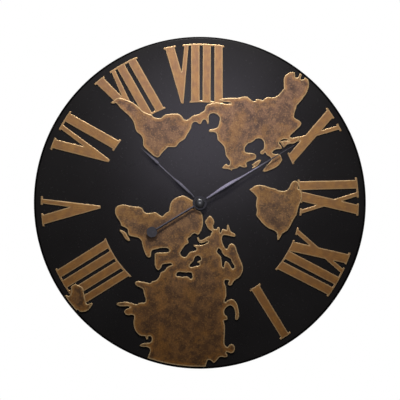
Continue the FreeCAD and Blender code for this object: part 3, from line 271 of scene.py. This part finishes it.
def cut_plate(name, node, sheet, edge, finish):
    """The plate of a node, cut along the node's own outline, with its front edge rounded over. A point of
    the front that is d inside the outline lies edge minus the root of edge^2 - (edge - d)^2 below the
    front. Its rub is exp(-d / rub_reach): 1 where a cloth takes the lacquer off, 0 where it stays."""
    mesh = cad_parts[node].data
    corner = np.empty(len(mesh.vertices) * 3)
    mesh.vertices.foreach_get("co", corner)
    triangle = np.empty(len(mesh.loops), int)
    mesh.loops.foreach_get("vertex_index", triangle)
    corner, merged = np.unique(np.round(corner.reshape(-1, 3), 6), axis=0, return_inverse=True)
    triangle = merged.reshape(-1)[triangle].reshape(-1, 3)
    triangle = triangle[(triangle != np.roll(triangle, 1, 1)).all(1)]

    front = corner[:, 1].min()
    on_front = corner[:, 1] < front + sheet / 100
    faces = triangle[on_front[triangle].all(1)]
    behind = triangle[~on_front[triangle].any(1)]
    side = np.concatenate([faces[:, [0, 1]], faces[:, [1, 2]], faces[:, [2, 0]]])
    side = side[~np.isin(side[:, 0] * len(corner) + side[:, 1], side[:, 1] * len(corner) + side[:, 0])]
    start, end = corner[side[:, 0]][:, [0, 2]], corner[side[:, 1]][:, [0, 2]]

    parts = np.ceil(np.linalg.norm(end - start, axis=1) / outline_step).astype(int)
    of_side = np.repeat(np.arange(len(side)), parts)
    first = np.cumsum(parts) - parts
    share = ((np.arange(len(of_side)) - first[of_side]) / parts[of_side])[:, None]
    outline = start[of_side] * (1 - share) + end[of_side] * share
    first_at = np.zeros(len(corner), int)
    first_at[side[:, 0]] = first
    following = np.arange(len(outline)) + 1
    following[first + parts - 1] = first_at[side[:, 1]]
    before = np.empty_like(following)
    before[following] = np.arange(len(outline))

    run = outline[following] - outline[before]
    inward = np.column_stack([-run[:, 1], run[:, 0]]) / np.linalg.norm(run, axis=1)[:, None]
    low, high = outline.min(0), outline.max(0)
    grid = np.stack(np.meshgrid(np.arange(low[0], high[0], inner_pitch),
                                np.arange(low[1], high[1], inner_row)), -1)
    grid[1::2, :, 0] += inner_pitch / 2
    rings = [np.column_stack([outline + depth * inward, np.full(len(outline), depth)])
             for depth in (0.25 * edge, 0.58 * edge, 1.5 * edge, 3 * edge)]
    field = np.column_stack([grid.reshape(-1, 2), np.full(grid[..., 0].size, inner_clear)])
    candidate = np.concatenate([*rings, field])
    candidate = candidate[inside_outline(candidate[:, :2], start, end)]
    clear = distance_to_outline(candidate[:, :2], start, end)
    candidate = candidate[clear > 0.9 * candidate[:, 2]][:, :2]
    kept = np.unique(np.round(candidate / point_grid), axis=0, return_index=True)[1]
    flat = np.concatenate([outline, candidate[kept]])

    ring_edges = np.column_stack([np.arange(len(outline)), following])
    result = geometry.delaunay_2d_cdt((flat * 1000).tolist(), ring_edges.tolist(), [], 0, 1e-4, False)
    filled = np.array(result[2])
    if len(result[0]) != len(flat):
        raise ValueError(f"{node}: two points of its outline are too close together")
    filled = filled[inside_outline(flat[filled].mean(1), start, end)]

    inner = distance_to_outline(flat, start, end)
    drop = edge - np.sqrt(np.clip(edge ** 2 - np.clip(edge - inner, 0, None) ** 2, 0, None))
    top = np.column_stack([flat[:, 0], front + drop, flat[:, 1]])
    back_corner = np.flatnonzero(np.abs(corner[:, 1] - front - sheet) < sheet / 100)
    gap = np.linalg.norm(corner[back_corner][None, :, [0, 2]] - start[:, None], axis=-1)
    under = back_corner[gap.argmin(1)] + len(top)
    under_end = under[np.searchsorted(first, first_at[side[:, 1]])]
    walls = np.concatenate([
        np.column_stack([following, np.arange(len(outline)), under[of_side]]),
        np.column_stack([first_at[side[:, 1]], under, under_end])])
    piece = new_piece(name, np.concatenate([top, corner]),
                      np.concatenate([filled, walls, behind + len(top)]), finish)

    rub = np.zeros(len(top) + len(corner), np.float32)
    rub[:len(top)] = np.exp(-inner / rub_reach)
    piece.data.attributes.new("rub", "FLOAT", "POINT").data.foreach_set("value", rub)
    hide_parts(node)
    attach(piece, "root")
    return piece


numeral_finish = Finish("brushed_gold_lacquer", {"Specular IOR Level": 0.5})
rub = numeral_finish.add("ShaderNodeAttribute", {"attribute_name": "rub"}, {}, "Fac")
x, y, z = numeral_finish.axes()
from_centre = (x * x + z * z) ** 0.5
around = numeral_finish.add("ShaderNodeMath", {"operation": "ARCTAN2"}, {0: x, 1: z})
brush_place = numeral_finish.add("ShaderNodeCombineXYZ", {},
                                 {"X": around * 0.25, "Y": from_centre * 0.05, "Z": y})
bristles = numeral_finish.noise(0.0008, 4, where=brush_place)
blotch = numeral_finish.noise(0.013, 4)
speck = numeral_finish.noise(0.0026, 5, seed=7.0)
lacquer = numeral_finish.mix(blotch.step(0.36, 0.64), (0.240, 0.124, 0.056), (0.330, 0.171, 0.058))
lacquer = numeral_finish.mix(bristles.step(0.35, 0.70) * 0.75, lacquer, (0.200, 0.088, 0.030))
lacquer = numeral_finish.mix(speck.step(0.58, 0.76) * 0.6, lacquer, (0.11, 0.052, 0.024))
# Painted shade: the lacquer is darkened towards the foot of the dial, where less lamp light falls.
painted_shade_low = 1 - z.step(-0.24, 0.06)
lacquer = numeral_finish.mix(painted_shade_low, lacquer, (0.78, 0.68, 0.44), "MULTIPLY")
# Painted sheen: the blue is taken down below the top, so the numerals at the top keep a cool tone like a
# lamp's sheen.
lacquer = numeral_finish.mix(1 - z.step(0.10, 0.22), lacquer, (1, 1, 0.80), "MULTIPLY")
rubbed = (rub + 0.35 * (speck - 0.5)).step(0.18, 0.58)
numeral_finish.paint("Base Color", numeral_finish.mix(rubbed * 0.85, lacquer, (0.48, 0.315, 0.150)))
numeral_finish.paint("Metallic", 0.25 + 0.25 * rubbed)
numeral_finish.paint("Roughness", 0.36 - 0.06 * rubbed + 0.12 * bristles)
numeral_finish.emboss(bristles + 0.6 * speck, 0.00005)

numeral_sheet = 0.002
numeral_edge = 0.0006
for number in ("viii", "ix", "x", "xii", "i", "iiii", "v", "vi", "vii"):
    numeral = cut_plate(f"cut_numeral_{number}", f"numeral_{number}", numeral_sheet, numeral_edge,
                        numeral_finish)


# Map plates
# The continents are cut from 1.5 mm sheet and stand on small welded pads, clear of the numerals that they
# cross. Their brown patina is dabbed on in blotches, heavier inland, and the coasts are rubbed back to pale
# gold. The patina is painted darker towards the foot of the dial, a painted shade, and cooler at the top, a
# painted sheen.

patina = Finish("dabbed_brown_patina", {"Specular IOR Level": 0.45})
rub = patina.add("ShaderNodeAttribute", {"attribute_name": "rub"}, {}, "Fac")
x, y, z = patina.axes()
dab = patina.noise(0.016, 5)
dark_dab = patina.noise(0.014, 5, seed=2.0)
ochre = patina.noise(0.028, 4, seed=5.0)
grain = patina.noise(0.0024, 6, seed=9.0)
inland = 1 - rub.step(0.0005, 0.05)
brown = patina.mix(dab.step(0.36, 0.62), (0.205, 0.094, 0.032), (0.280, 0.135, 0.046))
inland_brown = patina.mix(dab.step(0.38, 0.62), (0.074, 0.038, 0.024), (0.160, 0.082, 0.046))
brown = patina.mix(inland * 0.85, brown, inland_brown)
brown = patina.mix(ochre.step(0.50, 0.66) * 0.55, brown, (0.245, 0.115, 0.030))
brown = patina.mix(dark_dab.step(0.50, 0.66) * 0.75, brown, (0.056, 0.028, 0.017))
brown = patina.mix(grain.step(0.52, 0.68) * 0.50, brown, (0.34, 0.185, 0.080))
brown = patina.mix((1 - grain).step(0.54, 0.70) * 0.50, brown, (0.040, 0.022, 0.013))
# Painted shade: the patina is darkened towards the foot of the dial, where less lamp light falls.
painted_shade_low = 1 - z.step(-0.26, 0.02)
brown = patina.mix(painted_shade_low, brown, (0.68, 0.57, 0.32), "MULTIPLY")
# Painted sheen: the blue is taken down below the top, so the plates at the top keep a cool tone like a lamp's
# sheen.
brown = patina.mix(1 - z.step(0.00, 0.20), brown, (0.94, 0.96, 0.74), "MULTIPLY")
rubbed = (rub + 0.4 * (grain - 0.5)).step(0.16, 0.52)
patina.paint("Base Color", patina.mix(rubbed * 0.8, brown, (0.50, 0.345, 0.165)))
patina.paint("Metallic", 0.15 + 0.25 * rubbed)
patina.paint("Roughness", 0.36 - 0.06 * rubbed + 0.12 * dab)
patina.emboss(grain + 0.7 * dark_dab, 0.00009)

map_sheet = 0.0015
map_edge = 0.0006
for land in ("africa_eurasia", "americas", "greenland", "arctic_island", "madagascar", "australia"):
    plate = cut_plate(f"cut_map_{land}", f"map_{land}", map_sheet, map_edge, patina)


# Hanger bracket
# A hat section bent from 1.5 mm steel strip and spot welded inside the pan near its top. The keyhole in
# its bridge drops over a screw head in the wall. It is sprayed black with the inside of the pan.

sprayed_steel = Finish("sprayed_black_steel", {"Specular IOR Level": 0.4})
overspray = sprayed_steel.noise(0.006, 4)
sprayed_steel.paint("Base Color", sprayed_steel.mix(overspray.step(0.3, 0.7), (0.013, 0.013, 0.014),
                                                    (0.024, 0.024, 0.026)))
sprayed_steel.paint("Roughness", 0.42 + 0.2 * overspray)
sprayed_steel.emboss(sprayed_steel.noise(0.0009, 2), 0.00003)
finish_nodes(sprayed_steel, "hanger_bracket")


# Movement case, gasket and setting knob
# The case is two halves moulded from black plastic with a fine spark-eroded grain, snapped together round
# the works. A rubber gasket keeps it from rattling on the dial, and the knob sets the hands from behind.

moulded_black = Finish("moulded_black_plastic", {"Specular IOR Level": 0.5})
spark_grain = moulded_black.noise(0.0005, 3)
flow = moulded_black.noise(0.02, 2)
moulded_black.paint("Base Color", moulded_black.mix(flow.step(0.3, 0.7), (0.017, 0.017, 0.018),
                                                    (0.027, 0.027, 0.028)))
moulded_black.paint("Roughness", 0.50 + 0.15 * spark_grain)
moulded_black.emboss(spark_grain, 0.00003)
finish_nodes(moulded_black, "case_front", "case_back")

gasket_rubber = Finish("gasket_rubber", {"Specular IOR Level": 0.25})
bloom = gasket_rubber.noise(0.003, 5)
gasket_rubber.paint("Base Color", gasket_rubber.mix(bloom.step(0.4, 0.8), (0.018, 0.018, 0.018),
                                                    (0.045, 0.044, 0.042)))
gasket_rubber.paint("Roughness", 0.75 + 0.15 * bloom)
finish_nodes(gasket_rubber, "rubber_gasket")

knob_white = Finish("white_knob_plastic", {"Specular IOR Level": 0.5})
finger_marks = knob_white.noise(0.0022, 4)
knob_white.paint("Base Color", knob_white.mix(finger_marks.step(0.45, 0.8), (0.66, 0.66, 0.63),
                                              (0.52, 0.51, 0.47)))
knob_white.paint("Roughness", 0.38 + 0.2 * finger_marks)
finish_nodes(knob_white, "setting_knob")


# Gear plate, bridge, bobbin and wheels
# These are moulded from white acetal, which runs without oil. Long handling leaves it a little yellow in
# patches, and the moulds leave it smooth.

acetal = Finish("white_acetal", {"Specular IOR Level": 0.5})
yellowing = acetal.noise(0.007, 3)
acetal.paint("Base Color", acetal.mix(yellowing.step(0.35, 0.75), (0.72, 0.72, 0.69), (0.66, 0.64, 0.55)))
acetal.paint("Roughness", 0.33 + 0.18 * acetal.noise(0.0015, 3))
finish_nodes(acetal, "gear_plate", "train_bridge", "coil_bobbin")

wheel_acetal = Finish("wheel_acetal", {"Specular IOR Level": 0.5})
sheen = wheel_acetal.noise(0.003, 3)
wheel_acetal.paint("Base Color", wheel_acetal.mix(sheen.step(0.3, 0.7), (0.78, 0.76, 0.68),
                                                  (0.70, 0.68, 0.60)))
wheel_acetal.paint("Roughness", 0.3 + 0.2 * sheen)
finish_nodes(wheel_acetal, "minute_wheel", "hour_wheel", "reverse_wheel", "third_wheel", "second_wheel",
             "intermediate_wheel", "rotor")


# Motor
# A two-pole stator stamped from soft steel, with a core strip through a coil of fine enamelled copper
# wire. The rotor carries a small sintered magnet, dark grey and slightly rough.

stamped_steel = Finish("stamped_steel", {"Metallic": 1.0})
rolling = stamped_steel.add("ShaderNodeMapping", {}, {"Vector": stamped_steel.place(), "Scale": (0.06, 1, 1)})
drawn = stamped_steel.noise(0.0006, 3, where=rolling)
stamped_steel.paint("Base Color", stamped_steel.mix(drawn.step(0.3, 0.7), (0.50, 0.51, 0.53),
                                                    (0.62, 0.62, 0.63)))
stamped_steel.paint("Roughness", 0.28 + 0.22 * drawn)
finish_nodes(stamped_steel, "stator_plate", "coil_core")

wire_pitch = 0.00025
copper_wire = Finish("enamelled_copper_wire", {"Metallic": 1.0})
x, y, z = copper_wire.axes()
phase = x * (2 * math.pi / wire_pitch)
turn_relief_and_shading = 0.5 + 0.5 * phase.math("SINE", phase)
lay = copper_wire.noise(0.002, 3)
# Painted highlight and painted shade: each turn is coloured bright on its crown and dark between turns. The
# same wave raises the turns in the bump.
copper_wire.paint("Base Color", copper_wire.mix(turn_relief_and_shading, (0.24, 0.075, 0.028), (0.74, 0.32, 0.15)))
copper_wire.paint("Roughness", 0.25 + 0.2 * lay)
copper_wire.emboss(turn_relief_and_shading + 0.4 * lay, 0.00006)
finish_nodes(copper_wire, "coil_winding")

sintered = Finish("sintered_magnet", {"Metallic": 0.7})
pores = sintered.noise(0.0004, 4)
sintered.paint("Base Color", sintered.mix(pores.step(0.35, 0.65), (0.07, 0.07, 0.075), (0.16, 0.16, 0.17)))
sintered.paint("Roughness", 0.45 + 0.2 * pores)
finish_nodes(sintered, "rotor_magnet")


# Circuit board
# A green board with the chip under a drop of black resin, a quartz crystal in a drawn steel can, and two
# bowed contacts of nickel-plated strip that reach to the cell.

solder_mask = Finish("green_solder_mask", {"Specular IOR Level": 0.6})
x, y, z = solder_mask.axes()
weave = solder_mask.noise(0.0008, 2)
track_place = solder_mask.add("ShaderNodeCombineXYZ", {}, {"X": x, "Y": 0.0, "Z": z})
tracks = solder_mask.add("ShaderNodeTexVoronoi", {"feature": "DISTANCE_TO_EDGE", "distance": "MANHATTAN"},
                         {"Vector": track_place, "Scale": 420.0, "Randomness": 0.35})
copper_below = 1 - tracks.step(0.06, 0.10)
solder_mask.paint("Base Color", solder_mask.mix(
    copper_below, solder_mask.mix(weave.step(0.3, 0.7), (0.010, 0.075, 0.030), (0.014, 0.095, 0.038)),
    (0.045, 0.20, 0.075)))
solder_mask.paint("Roughness", 0.25 + 0.15 * weave)
solder_mask.emboss(copper_below, 0.00004)
finish_nodes(solder_mask, "circuit_board")

chip_resin = Finish("chip_resin", {"Specular IOR Level": 0.5})
filler = chip_resin.noise(0.0004, 4)
chip_resin.paint("Base Color", chip_resin.mix(filler.step(0.4, 0.75), (0.012, 0.012, 0.013),
                                              (0.035, 0.035, 0.036)))
chip_resin.paint("Roughness", 0.35 + 0.25 * filler)
finish_nodes(chip_resin, "chip")

drawn_can = Finish("drawn_steel_can", {"Metallic": 1.0})
x, y, z = drawn_can.axes()
die_place = drawn_can.add("ShaderNodeCombineXYZ", {}, {"X": x, "Y": y, "Z": z * 0.05})
die_lines = drawn_can.noise(0.0003, 3, where=die_place)
drawn_can.paint("Base Color", drawn_can.mix(die_lines.step(0.3, 0.7), (0.58, 0.58, 0.57), (0.72, 0.72, 0.71)))
drawn_can.paint("Roughness", 0.2 + 0.2 * die_lines)
finish_nodes(drawn_can, "quartz_crystal")

nickel_strip = Finish("nickel_plated_strip", {"Metallic": 1.0})
tarnish = nickel_strip.noise(0.003, 4)
nickel_strip.paint("Base Color", nickel_strip.mix(tarnish.step(0.35, 0.75), (0.66, 0.64, 0.59),
                                                  (0.50, 0.46, 0.39)))
nickel_strip.paint("Roughness", 0.18 + 0.3 * tarnish)
finish_nodes(nickel_strip, "contact_plus", "contact_minus")


# Battery cell
# An AA cell in a plain printed jacket, slate grey with a copper-coloured band round its positive third.
# The can's ends and the button of the positive pole are bare nickel-plated steel.

cell = Finish("printed_cell_jacket", {"Specular IOR Level": 0.5, "Coat Roughness": 0.15})
x, y, z = cell.axes()
low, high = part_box("battery_cell")
cell_length = high.x - low.x
from_plus = (high.x - x) * (1 / cell_length)
scuff = cell.noise(0.0035, 5)
band = 1 - from_plus.step(0.355, 0.362)
hairline = from_plus.step(0.372, 0.376) * (1 - from_plus.step(0.380, 0.384))
bare = 1 - from_plus.step(0.034, 0.038) * (1 - from_plus.step(0.978, 0.982))
jacket = cell.mix(band, (0.060, 0.072, 0.088), (0.46, 0.22, 0.085))
jacket = cell.mix(hairline, jacket, (0.60, 0.60, 0.58))
jacket = cell.mix(scuff.step(0.55, 0.8) * 0.35, jacket, (0.30, 0.30, 0.30))
cell.paint("Base Color", cell.mix(bare, jacket, (0.62, 0.61, 0.58)))
cell.paint("Metallic", 0.35 * band * (1 - bare) + bare)
cell.paint("Roughness", 0.26 + 0.22 * scuff)
cell.paint("Coat Weight", 0.6 * (1 - bare))
finish_nodes(cell, "battery_cell")


# Bush, washer, nut, arbor and collets
# Turned brass. The threaded bush passes through the hole of the dial, and the hexagon nut on its washer
# clamps the movement. The two hands are pressed onto short collets. The minute arbor is nickel plated,
# and its end shows grey in the middle of the cap nut.

turned_brass = Finish("turned_brass", {"Metallic": 1.0})
x, y, z = turned_brass.axes()
from_axis = (x * x + z * z) ** 0.5
ring_place = turned_brass.add("ShaderNodeCombineXYZ", {}, {"X": from_axis, "Y": y, "Z": 0.0})
tool_marks = turned_brass.noise(0.0002, 2, where=ring_place)
handled = turned_brass.noise(0.004, 4)
brass = turned_brass.mix(tool_marks.step(0.3, 0.7), (0.62, 0.44, 0.19), (0.76, 0.56, 0.27))
turned_brass.paint("Base Color", turned_brass.mix(handled.step(0.5, 0.8) * 0.6, brass, (0.36, 0.23, 0.10)))
turned_brass.paint("Roughness", 0.22 + 0.2 * tool_marks)
turned_brass.emboss(tool_marks, 0.00002)
finish_nodes(turned_brass, "threaded_bush", "dial_washer", "hex_nut", "hour_collet", "minute_collet")

nickelled_arbor = Finish("nickel_plated_arbor", {"Metallic": 1.0})
wiped = nickelled_arbor.noise(0.0015, 4)
nickelled_arbor.paint("Base Color", nickelled_arbor.mix(wiped.step(0.35, 0.65), (0.22, 0.24, 0.22),
                                                        (0.33, 0.35, 0.32)))
nickelled_arbor.paint("Roughness", 0.34 + 0.14 * wiped)
finish_nodes(nickelled_arbor, "minute_arbor")


# Hands
# Both are pressed from 0.8 mm steel, with a ridge along the leaf and flat bosses and tail, and sprayed
# satin black. A pale lilac, metallic streak along each leaf and along the upper side of the tail is a painted
# highlight for the light that they catch. The disc and the boss are a little paler and metallic too.

boss_radius = 0.0130
disc_start = 0.0915
black_paint = (0.006, 0.006, 0.008)
# Pale lilac: the colour of the painted highlight, and of the thinner paint on the disc and the boss.
lilac_highlight_and_thin_paint = (0.200, 0.195, 0.220)

for hand_name, highlight_strength, low, high in (("hour_hand", 0.40, -0.0040, 0.0006),
                                   ("minute_hand", 0.88, -0.0010, 0.0050)):
    hand_paint = Finish(f"satin_black_on_{hand_name}", {"Specular IOR Level": 0.15})
    hand_mesh = bpy.data.objects[hand_name].data
    corners = np.empty(len(hand_mesh.vertices) * 3)
    hand_mesh.vertices.foreach_get("co", corners)
    corners = corners.reshape(-1, 3)
    tip = corners[np.argmax(np.hypot(corners[:, 0], corners[:, 2]))]
    tip_x, tip_z = (float(share) for share in tip[[0, 2]] / np.hypot(tip[0], tip[2]))
    x, y, z = hand_paint.axes()
    along = x * tip_x + z * tip_z
    aside = z * tip_x - x * tip_z
    across = aside.math("ABSOLUTE", aside)
    settled = hand_paint.noise(0.012, 3)
    fine = hand_paint.noise(0.0007, 3)
    on_leaf = along.step(boss_radius, boss_radius + 0.003)
    on_tail = (0 - along).step(boss_radius - 0.001, boss_radius + 0.001) * (
        1 - (0 - along).step(disc_start - 0.001, disc_start + 0.001))
    on_disc = (0 - along).step(disc_start, disc_start + 0.002)
    highlight_streak = aside.step(low - 0.0008, low + 0.0004) * (1 - aside.step(high - 0.0004, high + 0.0008))
    on_half = 1 - along.step(0.115, 0.150)
    on_boss = 1 - ((x * x + z * z) ** 0.5).step(boss_radius - 0.0006, boss_radius)
    on_top = aside.step(-0.0006, 0.0006)
    # Painted highlight: a pale streak along the leaf, fading past its middle, and along the upper side of the
    # tail.
    painted_highlight = on_leaf * highlight_streak * (0.30 + 0.70 * on_half) + 0.5 * on_tail * on_top
    highlight_and_thin_paint = painted_highlight * (highlight_strength + 0.10 * settled) + 0.24 * on_disc + 0.12 * on_boss
    hand_paint.paint("Base Color", hand_paint.mix(highlight_and_thin_paint, black_paint, lilac_highlight_and_thin_paint))
    hand_paint.paint("Metallic", highlight_and_thin_paint)
    hand_paint.paint("Roughness", 0.24 + 0.06 * settled)
    hand_paint.emboss(fine * 0.000003 + (on_leaf * 0.22 - on_tail * 0.08) * across, 1.0)
    finish_nodes(hand_paint, hand_name)


# Cap nut
# A low domed nut screwed on the end of the minute arbor. It is turned from brass, plated glossy black,
# and open in the middle, where the end of the arbor shows.

cap_radius = 0.0086
cap_rim = 0.0012
cap_height = 0.0044
cap_top_radius = 0.0034
arbor_radius = 0.0017

black_plating = Finish("black_plating", {"Specular IOR Level": 0.6})
buffing = black_plating.noise(0.0012, 4)
black_plating.paint("Base Color", black_plating.mix(buffing.step(0.3, 0.7), (0.010, 0.010, 0.012),
                                                    (0.026, 0.027, 0.028)))
black_plating.paint("Roughness", 0.24 + 0.12 * buffing)

cap_base = -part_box("cap_nut")[1].y
shoulder = cap_radius - cap_top_radius
bend = np.linspace(0, 1, 17)[:, None] * math.pi / 2
dome = np.hstack([cap_top_radius + shoulder * np.cos(bend),
                  cap_base + cap_rim + (cap_height - cap_rim) * np.sin(bend)])
cap_profile = np.concatenate([
    [(cap_radius, cap_base)], dome, [(arbor_radius, cap_base + cap_height), (arbor_radius, cap_base)]])[::-1]
cap = turned_piece("domed_cap_nut", cap_profile, 96, black_plating)
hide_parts("cap_nut")
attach(cap, "minute_hand_body")


# Room
# A pale floor well below the clock and a white studio behind it. A softbox above and in front lights the
# dial, a small panel level with its upper half puts the soft glow on it, and a large softbox lights the
# back. The lens is long and level with the middle. The room is darker in front of the clock than behind.

floor_depth = 1.1
floor_radius = 5.5
floor_sides = 64
spoke = np.linspace(0, 2 * np.pi, floor_sides, endpoint=False)
floor_points = np.column_stack([floor_radius * np.cos(spoke), floor_radius * np.sin(spoke),
                                np.full(floor_sides, -floor_depth)])
pale_floor = Finish("pale_floor", {"Specular IOR Level": 0.2, "Emission Strength": 0.6})
paper = pale_floor.noise(0.6, 3)
pale_floor.paint("Base Color", pale_floor.mix(paper, (0.84, 0.84, 0.84), (0.87, 0.87, 0.87)))
pale_floor.paint("Roughness", 0.8 + 0.1 * paper)
from_camera, mirrored, through_glass = pale_floor.kinds_of_ray()
floor_y = pale_floor.axes()[1]
seen = from_camera + (mirrored + through_glass) * floor_y.step(-0.2, 0.6)
pale_floor.paint("Emission Color", pale_floor.mix(seen, (0, 0, 0), (1, 1, 1)))
floor = new_piece("floor", floor_points, [list(range(floor_sides))], pale_floor)

world = bpy.data.worlds.new("studio")
world.use_nodes = True
bpy.context.scene.world = world
studio = Nodes(world.node_tree)
dim_light = 0.11
dark_front = 0.04
from_camera, mirrored, through_glass = studio.kinds_of_ray()
sky_y = studio.add("ShaderNodeSeparateXYZ", {}, {
    "Vector": studio.add("ShaderNodeTexCoord", {}, {}, "Generated")}, "Y")
behind_clock = sky_y.step(-0.05, 0.25)
reflected = dark_front + (1 - dark_front) * behind_clock
bounced = mirrored + through_glass
bounced = bounced.math("MINIMUM", bounced, 1.0)
level = dim_light + (1 - dim_light) * from_camera + bounced * (reflected - dim_light)
background = world.node_tree.nodes["Background"]
background.inputs["Color"].default_value = (1, 1, 1, 1)
studio.tree.links.new(level.socket, background.inputs["Strength"])


def lamp(name, place, aim, width, height, power, colour, spread=180):
    """A rectangular lamp that the camera doesn't see. A grid narrows its beam to the given spread."""
    light = bpy.data.lights.new(name, "AREA")
    light.shape = "RECTANGLE"
    light.size = width
    light.size_y = height
    light.energy = power
    light.color = colour
    light.spread = math.radians(spread)
    stand = bpy.data.objects.new(name, light)
    stand.location = place
    stand.rotation_euler = (Vector(aim) - Vector(place)).to_track_quat("-Z", "Y").to_euler()
    stand.visible_camera = False
    bpy.context.scene.collection.objects.link(stand)


lamp("softbox", (0.0, -0.90, 0.85), (0, 0, 0.12), 0.34, 0.22, 2.9, (1, 0.99, 1), 70)
lamp("front_panel", (0.01, -0.80, 0.156), (0.01, 0, 0.156), 0.24, 0.24, 0.54, (0.93, 0.87, 1.08))
lamp("back_softbox", (0.8, 1.8, 1.2), (0, 0, 0), 2.6, 2.2, 16.0, (1, 1, 1))

lens_distance = 4.0
picture_width = 0.7221
lens = bpy.data.cameras.new("lens")
lens.lens = lens.sensor_width * (lens_distance - pan_depth) / picture_width
tripod = bpy.data.objects.new("tripod", lens)
tripod.location = (0.0003, -lens_distance, 0.0050)
tripod.rotation_euler = (math.radians(90), 0, 0)
bpy.context.scene.collection.objects.link(tripod)
bpy.context.scene.camera = tripod
bpy.context.scene.view_settings.view_transform = "Standard"
